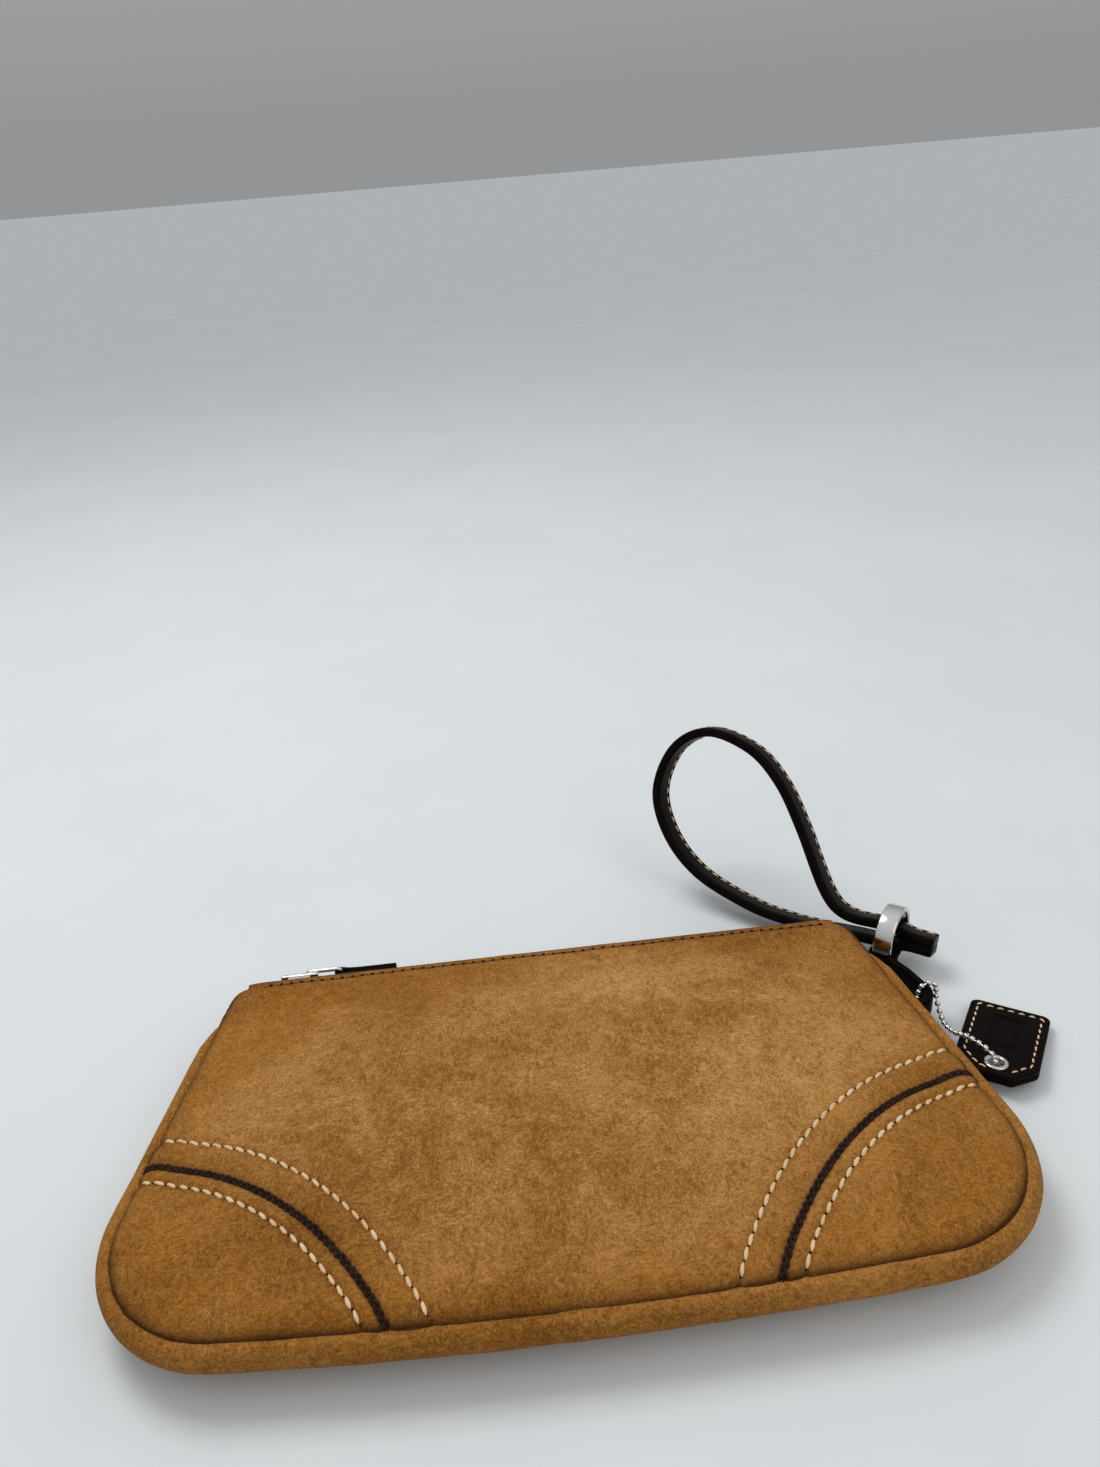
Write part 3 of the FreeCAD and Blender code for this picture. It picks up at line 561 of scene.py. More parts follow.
def relief_at(x, y):
    u = np.clip((np.asarray(x, float) - MAP_X[0]) / MAP_STEP, 0, len(MAP_X) - 1.001)
    v = np.clip((np.asarray(y, float) - MAP_Y[0]) / MAP_STEP, 0, len(MAP_Y) - 1.001)
    column = u.astype(int)
    row = v.astype(int)
    s = u - column
    t = v - row
    low = RELIEF[row, column] * (1 - s) + RELIEF[row, column + 1] * s
    high = RELIEF[row + 1, column] * (1 - s) + RELIEF[row + 1, column + 1] * s
    return low * (1 - t) + high * t


def patch_radius(x, y):
    """Distance from the nearer patch centre."""
    return np.hypot(np.abs(x) - PATCH_CENTRE[0], y - PATCH_CENTRE[1])


def dip(distance, width):
    return np.exp(-(distance / width) ** 2)


def front_z(x, y, near=None):
    """Height of the front's outer face, with its puffs and seam grooves."""
    if near is None:
        near = seam_distance(x, y)
    z = crown(x, y) + relief_at(x, y)
    # soft waves, stronger pucker towards the seam
    z = z + 0.35 * soft_noise(x, y, 24.0, 11) * smooth_step(near, 3.0, 20.0)
    z = z + 0.16 * soft_noise(x, y, 8.0, 12) * np.exp(-near / 12.0)
    z = z + 0.16 * soft_noise(x, y, 3.4, 13) * np.exp(-near / 3.0)
    # pillow beside the seam and the dive into it, but a lip that stays up at the mouth
    mouth = smooth_step(HIGH_Y - y, 3.0, 0.8) * (np.abs(x) < TOP_HALF_WIDTH - 3)
    z = z + (0.55 * dip(near - 4.5, 3.2) - np.exp(-near)) * (1 - mouth) + 0.35 * mouth
    # puffs on both sides of the cord, grooves under the two stitch rows and the cord
    radius = patch_radius(x, y)
    z = z + 0.55 * dip(radius - (CORD_RADIUS + OUTER_STITCH_RADIUS) / 2, 2.6)
    z = z + 0.40 * dip(radius - (CORD_RADIUS + INNER_STITCH_RADIUS) / 2, 1.3)
    z = z - 0.42 * dip(radius - OUTER_STITCH_RADIUS, 0.9) - 0.42 * dip(radius - INNER_STITCH_RADIUS, 0.9)
    z = z - 0.75 * dip(radius - CORD_RADIUS, 0.8)
    # groove under the mouth's stitches
    row = np.abs(y - (HIGH_Y - TOP_STITCH_INSET))
    return z - 0.35 * dip(row, 0.6) * smooth_step(TOP_HALF_WIDTH - np.abs(x), 2.0, 8.0)


def stitch_dents(x, y):
    """Puckers that each stitch of the corner rows pulls into the suede."""
    angle = np.arctan2(y - PATCH_CENTRE[1], np.abs(x) - PATCH_CENTRE[0])
    radius = patch_radius(x, y)
    dents = np.zeros(np.shape(x))
    for row_radius in (OUTER_STITCH_RADIUS, INNER_STITCH_RADIUS):
        phase = 2 * math.pi * angle * row_radius / PATCH_STITCH_PITCH
        dents += 0.16 * np.cos(phase) * dip(radius - row_radius, 1.5)
    return dents


def wall_points(grid, face_z, thickness, roll):
    """Closed sheet with a rolled edge, from plan points and the height of one face."""
    rows, columns = grid.shape[:2]
    flat = grid.reshape(-1, 2)
    count = len(flat)
    outer = np.column_stack([flat, face_z.ravel()])
    inner = np.column_stack([flat, face_z.ravel() - thickness])
    rim = rim_indices(rows, columns)
    edge = outer[rim]
    along = tangents(edge[:, :2], closed=True)
    outward = np.stack([along[:, 1], -along[:, 0]], axis=1)
    faces = strip_faces(rows, columns)
    faces += [tuple(count + index for index in face[::-1]) for face in strip_faces(rows, columns)]
    loops = [rim]
    extra = []
    for part in (0.25, 0.5, 0.75):
        angle = math.pi * part
        ring = edge.copy()
        ring[:, :2] += outward * (roll * math.sin(angle))
        ring[:, 2] -= thickness * (1 - math.cos(angle)) / 2
        loops.append([2 * count + len(extra) * len(rim) + index for index in range(len(rim))])
        extra.append(ring)
    loops.append([count + index for index in rim])
    for low, high in zip(loops, loops[1:]):
        for index in range(len(rim)):
            beside = (index + 1) % len(rim)
            faces.append((low[index], high[index], high[beside], low[beside]))
    if thickness < 0:
        faces = [face[::-1] for face in faces]
    return np.vstack([outer, inner] + extra), faces


def write_attribute(piece, name, values):
    layer = piece.data.attributes.new(name, "FLOAT", "POINT")
    layer.data.foreach_set("value", np.asarray(values, np.float32))


# ---- materials ----

class Nodes:
    """Short calls for building one material's nodes."""

    def __init__(self, name):
        self.material = bpy.data.materials.new(name)
        self.material.use_nodes = True
        self.tree = self.material.node_tree
        self.shader = self.tree.nodes["Principled BSDF"]
        place = self.tree.nodes.new("ShaderNodeTexCoord")
        self.coords = self.scaled(place.outputs["Object"], (1000.0, 1000.0, 1000.0))

    def scaled(self, vector, scale, turn=(0.0, 0.0, 0.0)):
        """The place in millimetres, stretched."""
        node = self.tree.nodes.new("ShaderNodeMapping")
        node.inputs["Scale"].default_value = scale
        node.inputs["Rotation"].default_value = turn
        self.tree.links.new(vector, node.inputs["Vector"])
        return node.outputs["Vector"]

    def noise(self, scale, detail=3.0, rough=0.55, vector=None, distortion=0.0):
        node = self.tree.nodes.new("ShaderNodeTexNoise")
        node.inputs["Scale"].default_value = scale
        node.inputs["Detail"].default_value = detail
        node.inputs["Roughness"].default_value = rough
        node.inputs["Distortion"].default_value = distortion
        self.tree.links.new(vector or self.coords, node.inputs["Vector"])
        return node.outputs["Fac"]

    def cells(self, scale):
        """Distance to the nearest border between cells."""
        node = self.tree.nodes.new("ShaderNodeTexVoronoi")
        node.feature = "DISTANCE_TO_EDGE"
        node.inputs["Scale"].default_value = scale
        self.tree.links.new(self.coords, node.inputs["Vector"])
        return node.outputs["Distance"]

    def wave(self, scale, direction):
        node = self.tree.nodes.new("ShaderNodeTexWave")
        node.bands_direction = direction
        node.inputs["Scale"].default_value = scale
        self.tree.links.new(self.coords, node.inputs["Vector"])
        return node.outputs["Fac"]

    def math(self, operation, first, second):
        node = self.tree.nodes.new("ShaderNodeMath")
        node.operation = operation
        for socket, value in zip(node.inputs, (first, second)):
            if isinstance(value, (int, float)):
                socket.default_value = value
            else:
                self.tree.links.new(value, socket)
        return node.outputs["Value"]

    def stretch(self, value, low, high, to_low=0.0, to_high=1.0):
        node = self.tree.nodes.new("ShaderNodeMapRange")
        for name, number in zip(("From Min", "From Max", "To Min", "To Max"), (low, high, to_low, to_high)):
            node.inputs[name].default_value = number
        self.tree.links.new(value, node.inputs["Value"])
        return node.outputs["Result"]

    def mix(self, factor, first, second, blend="MIX"):
        node = self.tree.nodes.new("ShaderNodeMix")
        node.data_type = "RGBA"
        node.blend_type = blend
        sockets = (node.inputs[0], node.inputs[6], node.inputs[7])
        for socket, value in zip(sockets, (factor, first, second)):
            if isinstance(value, (int, float)):
                socket.default_value = value
            elif isinstance(value, tuple):
                socket.default_value = (*value, 1.0)
            else:
                self.tree.links.new(value, socket)
        return node.outputs[2]

    def attribute(self, name):
        node = self.tree.nodes.new("ShaderNodeAttribute")
        node.attribute_name = name
        return node.outputs["Fac"]

    def bump(self, height, distance, strength):
        node = self.tree.nodes.new("ShaderNodeBump")
        node.inputs["Strength"].default_value = strength
        node.inputs["Distance"].default_value = distance * MM
        self.tree.links.new(height, node.inputs["Height"])
        return node.outputs["Normal"]

    def finish(self, colour=None, roughness=None, normal=None, **constants):
        for name, value in (("Base Color", colour), ("Roughness", roughness), ("Normal", normal)):
            if value is None:
                continue
            if isinstance(value, (int, float)):
                self.shader.inputs[name].default_value = value
            elif isinstance(value, tuple):
                self.shader.inputs[name].default_value = (*value, 1.0)
            else:
                self.tree.links.new(value, self.shader.inputs[name])
        for name, value in constants.items():
            self.shader.inputs[name.replace("_", " ")].default_value = value
        return self.material


SUEDE_LIGHT = (0.600, 0.315, 0.110)
SUEDE_MIDDLE = (0.385, 0.180, 0.046)
SUEDE_DARK = (0.225, 0.088, 0.012)
# the rubbed colour multiplies in darkening that is partly wear and partly painted shade
SUEDE_WORN_AND_SHADED = (0.68, 0.56, 0.30)
# painted shade: the crease colour is mixed into seams, grooves and tucks
SUEDE_CREASE_SHADE = (0.040, 0.014, 0.004)
SUEDE_SCUFF = (0.09, 0.035, 0.012)


def suede_material():
    n = Nodes("suede")
    patches = n.noise(0.026, 3.0, 0.5, distortion=0.6)
    clouds = n.noise(0.11, 4.0, 0.62, distortion=1.2)
    nap = n.noise(1.3, 3.0, 0.8, n.scaled(n.coords, (1.0, 0.45, 1.0), (0.0, 0.0, 0.5)))
    other_nap = n.noise(1.5, 3.0, 0.8, n.scaled(n.coords, (0.45, 1.0, 1.0), (0.0, 0.0, -0.3)))
    fibres = n.noise(2.0, 2.0, 0.8)
    mottle = n.noise(0.34, 3.0, 0.65, distortion=0.8)
    lean = n.stretch(clouds, 0.42, 0.58)
    streaks = n.mix(lean, nap, other_nap)
    tone = n.math("ADD", n.stretch(patches, 0.3, 0.7, -0.55, 0.50), n.stretch(clouds, 0.3, 0.7, -0.45, 0.40))
    tone = n.math("ADD", tone, n.stretch(mottle, 0.3, 0.7, -0.30, 0.30))
    tone = n.math("ADD", tone, n.stretch(streaks, 0.3, 0.7, -0.80, 0.80))
    tone = n.math("ADD", tone, n.stretch(fibres, 0.3, 0.7, -0.75, 0.75))
    warm = n.mix(n.stretch(tone, -1.0, 0.0), SUEDE_DARK, SUEDE_MIDDLE)
    colour = n.mix(n.stretch(tone, 0.0, 1.1), warm, SUEDE_LIGHT)
    # the edge attribute darkens the suede partly as rubbed wear and partly as painted shade on faces turned
    # from the light
    edge = n.math("MULTIPLY", n.attribute("edge"), n.stretch(clouds, 0.3, 0.6, 0.6, 1.0))
    colour = n.mix(edge, colour, SUEDE_WORN_AND_SHADED, "MULTIPLY")
    # painted shade: near-black mixed in where the crease attribute marks seams, grooves and the mouth's lip
    colour = n.mix(n.attribute("crease_shade"), colour, SUEDE_CREASE_SHADE)
    scuff = n.math("MULTIPLY", n.attribute("scuff"), n.stretch(streaks, 0.48, 0.60))
    colour = n.mix(scuff, colour, SUEDE_SCUFF)
    relief = n.math("ADD", n.math("MULTIPLY", streaks, 0.8), n.math("MULTIPLY", fibres, 0.6))
    normal = n.bump(relief, 0.45, 0.85)
    return n.finish(
        colour, n.stretch(streaks, 0.2, 0.8, 0.98, 0.82), normal,
        Sheen_Weight=0.07, Sheen_Roughness=0.6, Sheen_Tint=(0.95, 0.68, 0.4, 1.0), Specular_IOR_Level=0.04,
    )


def leather_material():
    n = Nodes("dark_leather")
    warp = n.noise(0.5, 2.0, 0.5)
    pores = n.cells(1.5)
    grain = n.stretch(pores, 0.0, 0.35)
    fine = n.noise(5.0, 2.0, 0.6)
    colour = n.mix(n.stretch(warp, 0.3, 0.7), (0.0040, 0.0026, 0.0024), (0.0075, 0.0050, 0.0045))
    colour = n.mix(n.stretch(fine, 0.55, 0.75, 0.0, 0.35), colour, (0.012, 0.008, 0.0065))
    height = n.math("ADD", grain, n.math("MULTIPLY", fine, 0.4))
    normal = n.bump(height, 0.05, 0.5)
    rough = n.stretch(warp, 0.25, 0.75, 0.28, 0.42)
    return n.finish(colour, rough, normal, Specular_IOR_Level=0.04, IOR=1.35)


def thread_material(name, light, dark, rough=0.6):
    n = Nodes(name)
    fibres = n.noise(6.0, 2.0, 0.7, n.scaled(n.coords, (1.0, 1.0, 0.4), (0.4, 0.2, 0.8)))
    stains = n.noise(0.18, 2.0, 0.5)
    tone = n.math("ADD", n.stretch(fibres, 0.3, 0.7, 0.0, 0.6), n.stretch(stains, 0.35, 0.65, 0.0, 0.4))
    colour = n.mix(tone, dark, light)
    normal = n.bump(fibres, 0.06, 0.6)
    return n.finish(colour, rough, normal, Sheen_Weight=0.04, Sheen_Roughness=0.4, Specular_IOR_Level=0.12)


# the needle holes' dark colour is painted shade inside the holes
def hole_shade_material():
    n = Nodes("needle_hole_shade")
    shade = n.noise(2.0, 2.0, 0.5)
    colour = n.mix(n.stretch(shade, 0.3, 0.7), (0.018, 0.007, 0.003), (0.040, 0.015, 0.006))
    return n.finish(colour, 0.95, None, Specular_IOR_Level=0.0)


def woven_material(name, light, dark, pitch):
    n = Nodes(name)
    across, up, depth = (n.wave(1.0 / pitch, direction) for direction in "XYZ")
    weave = n.math("MAXIMUM", n.math("MULTIPLY", across, up), n.math("MULTIPLY", across, depth))
    cloud = n.noise(0.25, 3.0, 0.6)
    tone = n.math("ADD", n.math("MULTIPLY", weave, 0.6), n.stretch(cloud, 0.3, 0.7, 0.0, 0.4))
    colour = n.mix(tone, dark, light)
    normal = n.bump(weave, 0.08, 0.7)
    return n.finish(colour, 0.85, normal, Sheen_Weight=0.2, Sheen_Roughness=0.5, Specular_IOR_Level=0.2)


def nickel_material(name, rough_low, rough_high):
    n = Nodes(name)
    smears = n.noise(0.35, 4.0, 0.6)
    scratches = n.noise(4.0, 3.0, 0.7, n.scaled(n.coords, (1.0, 0.06, 0.06), (0.3, 0.5, 0.4)))
    tone = n.math("ADD", n.stretch(smears, 0.3, 0.7, 0.0, 0.6), n.stretch(scratches, 0.5, 0.8, 0.0, 0.4))
    colour = n.mix(tone, (0.74, 0.72, 0.69), (0.62, 0.60, 0.57))
    rough = n.stretch(tone, 0.0, 1.0, rough_low, rough_high)
    normal = n.bump(scratches, 0.01, 0.35)
    return n.finish(colour, rough, normal, Metallic=1.0)


def floor_material():
    n = Nodes("floor")
    cloud = n.noise(0.012, 4.0, 0.6)
    colour = n.mix(n.stretch(cloud, 0.3, 0.7), (0.70, 0.73, 0.74), (0.74, 0.765, 0.77))
    return n.finish(colour, 0.6, None, Specular_IOR_Level=0.25)


SUEDE_SKIN = suede_material()
DARK_LEATHER = leather_material()
CREAM_THREAD = thread_material("cream_thread", (0.90, 0.70, 0.44), (0.60, 0.37, 0.17))
TAN_THREAD = thread_material("tan_thread", (0.30, 0.130, 0.040), (0.12, 0.045, 0.012))
DARK_THREAD = thread_material("dark_thread", (0.046, 0.018, 0.009), (0.007, 0.0030, 0.0018), 0.6)
NEEDLE_HOLE_SHADE = hole_shade_material()
ZIP_TAPE = woven_material("zip_tape", (0.110, 0.060, 0.034), (0.040, 0.020, 0.012), 0.55)
LINING_CLOTH = woven_material("lining", (0.34, 0.22, 0.13), (0.20, 0.12, 0.065), 0.7)
NICKEL = nickel_material("nickel", 0.09, 0.24)
WORN_NICKEL = nickel_material("nickel_small", 0.18, 0.34)


# ---- pouch ----

SCUFF_PLACE = (12.0, 41.5)


def make_front():
    grid = panel_grid(0.0, 150, 270, 0.4)
    x = grid[..., 0]
    y = grid[..., 1]
    near = seam_distance(x, y)
    z = front_z(x, y, near) + stitch_dents(x, y)
    points, faces = wall_points(grid, z, SUEDE, 0.5)
    piece = add_mesh("front_suede", points, faces, SUEDE_SKIN)
    px, py = points[:, 0], points[:, 1]
    distance = seam_distance(px, py)
    radius = patch_radius(px, py)
    # darker suede, partly rubbed wear and partly painted shade where the surface turns from the light:
    # towards the seam, low down, at both sides, on the patches and at the top
    lower = 0.35 * smooth_step(-py, -10.0, 52.0)
    sides = 0.3 * smooth_step(np.abs(px), 40.0, 80.0)
    corner = 0.35 * smooth_step(CORD_RADIUS - radius, 0.0, 4.0)
    upper = smooth_step(py, 0.0, 40.0) * (0.20 + 0.75 * smooth_step(-px, -10.0, 60.0))
    upper = upper * (0.8 + 0.6 * soft_noise(px, py, 11.0, 14))
    edge = 0.8 * np.exp(-distance / 8.0) + lower + sides + corner + 0.4 * dip(radius - 91.5, 4.5) + upper
    # painted shade: along the seam below the mouth, in the grooves at the cord and the stitch rows, and on
    # the lip at the mouth
    groove = 0.75 * dip(radius - CORD_RADIUS, 0.9) + 0.5 * dip(radius - OUTER_STITCH_RADIUS, 0.6)
    groove += 0.5 * dip(radius - INNER_STITCH_RADIUS, 0.6)
    below_mouth = smooth_step(HIGH_Y - py, 0.5, 3.0)
    lip = 0.55 * smooth_step(py, HIGH_Y - 0.5, HIGH_Y)
    crease_shade = np.clip(1.2 * np.exp(-distance / 0.9) * below_mouth + groove * 0.8 + lip, 0, 1)
    spot = np.hypot((px - SCUFF_PLACE[0]) / 4.2, (py - SCUFF_PLACE[1]) / 1.2)
    write_attribute(piece, "edge", np.clip(edge, 0, 1))
    write_attribute(piece, "crease_shade", crease_shade)
    write_attribute(piece, "scuff", np.exp(-spot ** 2) * 0.9)
    place_piece(piece, "pouch", "suede", "front_panel", "front_corner_left", "front_corner_right")


def back_z(x, y, near):
    """Height of the back's outer face, with its fold at the seam, pucker and stitch groove."""
    z = back_rise(x, y) + 0.9 * np.exp(-near / 1.0) - 0.4 * dip(near - 4.5, 3.2)
    z = z + 0.10 * (1 + soft_noise(x, y, 14.0, 31)) * smooth_step(near, 0.0, 14.0)
    z = z + 0.16 * soft_noise(x, y, 5.0, 32) * np.exp(-near / 5.0)
    row = dip(y - (HIGH_Y - TOP_STITCH_INSET), 0.8) * (np.abs(x) < TOP_HALF_WIDTH - 4)
    return z + 0.3 * row


def make_back():
    grid = panel_grid(0.0, 70, 120, 0.4)
    x = grid[..., 0]
    y = grid[..., 1]
    near = seam_distance(x, y)
    z = back_z(x, y, near)
    points, faces = wall_points(grid, z, -SUEDE, 0.5)
    piece = add_mesh("back_suede", points, faces, SUEDE_SKIN)
    distance = seam_distance(points[:, 0], points[:, 1])
    # darker near the seam, partly wear and partly painted shade; the crease attribute is painted shade along
    # the seam
    write_attribute(piece, "edge", np.clip(0.8 * np.exp(-distance / 7.0), 0, 1))
    write_attribute(piece, "crease_shade", np.exp(-distance / 0.6) * smooth_step(HIGH_Y - points[:, 1], 0.5, 3.0))
    place_piece(piece, "pouch", "suede", "back_panel")


# section of the band: distance out from the seam, height
BAND_SECTION = [
    (-1.3, 11.9), (-0.5, 13.0), (0.35, 13.7), (1.35, 13.75), (2.35, 13.0), (3.05, 11.5), (3.2, 10.2),
    (2.85, 8.9), (1.95, 7.8), (0.8, 7.4), (-0.3, 7.8), (-1.3, 9.2),
]


BAND_SIDES = 30
BAND_THICKNESS = 1.1
BAND_INNER_HEIGHT = 0.86
BAND_TAPER = 9.0
# section of the suede at each end of the mouth: distance out from the seam, height
MOUTH_SIDE_SECTION = [
    (-0.35, 13.3), (-0.5, 12.5), (-1.1, 11.5), (-1.3, 10.6), (-1.0, 9.6), (-0.5, 8.8), (-0.3, 8.2),
]


def band_path(count):
    """Plan points along the seam, from the band's right end round the bottom to its left end."""
    right = HALF[HALF[:, 1] < BAND_TOP_Y]
    right = right[:np.argmax(right[:, 1]) + 1]
    path = np.vstack([right[::-1], (right * [-1, 1])[1:]])
    return resample(path, count)


def make_band():
    count = 620
    path = band_path(count)
    along = tangents(path)
    outward = np.stack([-along[:, 1], along[:, 0]], axis=1)
    if outward[0, 0] < 0:
        outward = -outward
    section = spline(BAND_SECTION, BAND_SIDES)
    middle = section.mean(axis=0)
    lengths = path_lengths(path)
    from_end = np.minimum(lengths, lengths[-1] - lengths)
    taper = np.sqrt(np.clip(from_end / BAND_TAPER, 0.0, 1.0))
    offset = section - middle
    loops = []
    for index in range(count):
        s = lengths[index]
        full = taper[index]
        bulge = 1.0 + 0.05 * soft_noise(s, 0.0, 13.0, 21) + 0.04 * soft_noise(s, 3.0, 4.5, 22)
        out = middle[0] * full - 0.9 * (1 - full) + offset[:, 0] * (0.30 + 0.70 * full) * bulge
        top = middle[1] + offset[:, 1] * (0.72 + 0.28 * full)
        top = top + 0.12 * soft_noise(s, out, 6.0, 23) * smooth_step(out, 0.0, 2.0)
        outer = np.column_stack([path[index] + outward[index] * out[:, None], top])
        inner = outer.copy()
        inner[:, :2] -= outward[index] * BAND_THICKNESS
        inner[:, 2] = top.mean() + (top - top.mean()) * BAND_INNER_HEIGHT
        loops.append(np.vstack([outer, inner[::-1]]))
    piece = add_mesh("edge_band_suede", np.vstack(loops), closed_faces(count, len(loops[0])), SUEDE_SKIN)
    share = np.tile(np.concatenate([np.linspace(0, 1, BAND_SIDES), np.linspace(1, 0, BAND_SIDES)]), count)
    # painted shade where the band tucks against the two panels
    crease_shade = np.clip(1.0 - share / 0.12, 0, 1) + np.clip((share - 0.93) / 0.07, 0, 1)
    # the band is darker all along, partly as wear and partly as painted shade, and darker still as painted
    # shade on its outer and lower faces
    write_attribute(piece, "edge", 0.85 + 0.15 * smooth_step(share, 0.35, 0.8))
    write_attribute(piece, "crease_shade", crease_shade)
    place_piece(piece, "pouch", "suede", "edge_band")


def make_mouth_sides():
    """Suede that closes each end of the mouth, between the two panels above the band."""
    start = int(np.argmax(HALF[:, 1] > BAND_TOP_Y - 5.0))
    end = int(np.argmax((HALF[:, 1] > HIGH_Y - 0.01) & (HALF[:, 0] < TOP_HALF_WIDTH - 7.5)))
    count = 60
    path = resample(HALF[start:end], count)
    along = tangents(path)
    outward = np.stack([along[:, 1], -along[:, 0]], axis=1)
    profile = spline(MOUTH_SIDE_SECTION, 20)
    for side, name in ((1, "right"), (-1, "left")):
        rows = []
        for index in range(count):
            z = profile[:, 1]
            wave = 0.25 * soft_noise(index * 0.7, z, 5.0, 41 + side)
            out = profile[:, 0:1] + wave[:, None]
            outer = np.column_stack([path[index] + outward[index] * out, z])
            inner = np.column_stack([path[index] + outward[index] * (out - 1.2), z])
            loop = np.vstack([outer, inner[::-1]])
            loop[:, 0] *= side
            rows.append(loop)
        faces = closed_faces(count, len(rows[0]))
        if side > 0:
            faces = [face[::-1] for face in faces]
        points = np.vstack(rows)
        piece = add_mesh("mouth_side_" + name, points, faces, SUEDE_SKIN)
        # the mouth ends sit in a recess: their edge value is partly wear and partly painted shade, their
        # crease value is painted shade
        write_attribute(piece, "edge", np.full(len(points), 0.7))
        write_attribute(piece, "crease_shade", np.full(len(points), 0.15))
        place_piece(piece, "pouch", "suede")


# ---- threads ----

def front_frame(x, y):
    """Points on the front, and directions out of it, eased so that the grooves don't tip the threads."""
    step = 0.4
    ease = 0.6
    z = front_z(x, y)
    slope_x = (front_z(x + step, y) - front_z(x - step, y)) / (2 * step)
    slope_y = (front_z(x, y + step) - front_z(x, y - step)) / (2 * step)
    normal = unit(np.stack([-slope_x * ease, -slope_y * ease, np.ones_like(z)], axis=-1))
    return np.stack([x, y, z], axis=-1), normal


def add_stitches(batch, places, alongs, normals, length, radius, lean, seed, lift=0.0):
    """Plump stitches at the given places, each sinking into the surface at both ends."""
    rng = np.random.default_rng(seed)
    t = np.linspace(0.0, 1.0, 11)
    swell = np.sin(math.pi * np.clip(t, 0.02, 0.98))
    for place, along, normal in zip(places, alongs, normals):
        side = unit(np.cross(normal, along))
        angle = lean + rng.normal(0.0, 0.035)
        heading = along * math.cos(angle) + side * math.sin(angle)
        side = unit(np.cross(normal, heading))
        size = radius * (1.0 + rng.normal(0.0, 0.04))
        reach = length * (1.0 + rng.normal(0.0, 0.03))
        rise = lift + size * (0.95 * swell - 0.75)
        centres = place + np.outer((t - 0.5) * reach, heading) + np.outer(rise, normal)
        radii = size * swell ** 0.45
        batch.add(*tube(centres, radii, 12, side, normal, 0.9, twist=9.0, ridges=2, depth=0.10))


def add_holes(batch, places, alongs, normals, length, width):
    """Needle holes as shallow dark dimples that break the surface; their dark colour is painted shade inside
    the holes.
    """
    t = np.linspace(0.0, 1.0, 7)
    swell = np.sin(math.pi * np.clip(t, 0.04, 0.96)) ** 0.7
    for place, along, normal in zip(places, alongs, normals):
        side = unit(np.cross(normal, along))
        centres = place + np.outer((t - 0.5) * length, along)
        batch.add(*tube(centres, width / 2 * swell, 10, side, normal, 0.35))


def arc_angles(radius, inset):
    """Angles between which a circle round a patch centre lies inside the seam."""
    angles = np.linspace(math.radians(90.0), math.radians(180.0), 1800)
    x, y = corner_point(1, radius, angles)
    inside = (y > LOW_Y - 5) & (x < side_x(y))
    inside[inside] &= seam_distance(x[inside], y[inside]) > inset
    inside &= seam_inside(x, y)
    return angles[inside]


def seam_inside(x, y):
    """Whether points of the right half lie inside the seam."""
    low = HALF[:240]
    bottom_y = np.interp(x, low[:, 0], low[:, 1])
    right_x = np.interp(y, HALF[:, 1], HALF[:, 0])
    return (y > bottom_y) & (x < right_x)


def corner_point(side, radius, angle):
    """Plan point at an angle on a circle round a patch centre."""
    return side * (PATCH_CENTRE[0] + radius * np.cos(angle)), PATCH_CENTRE[1] + radius * np.sin(angle)


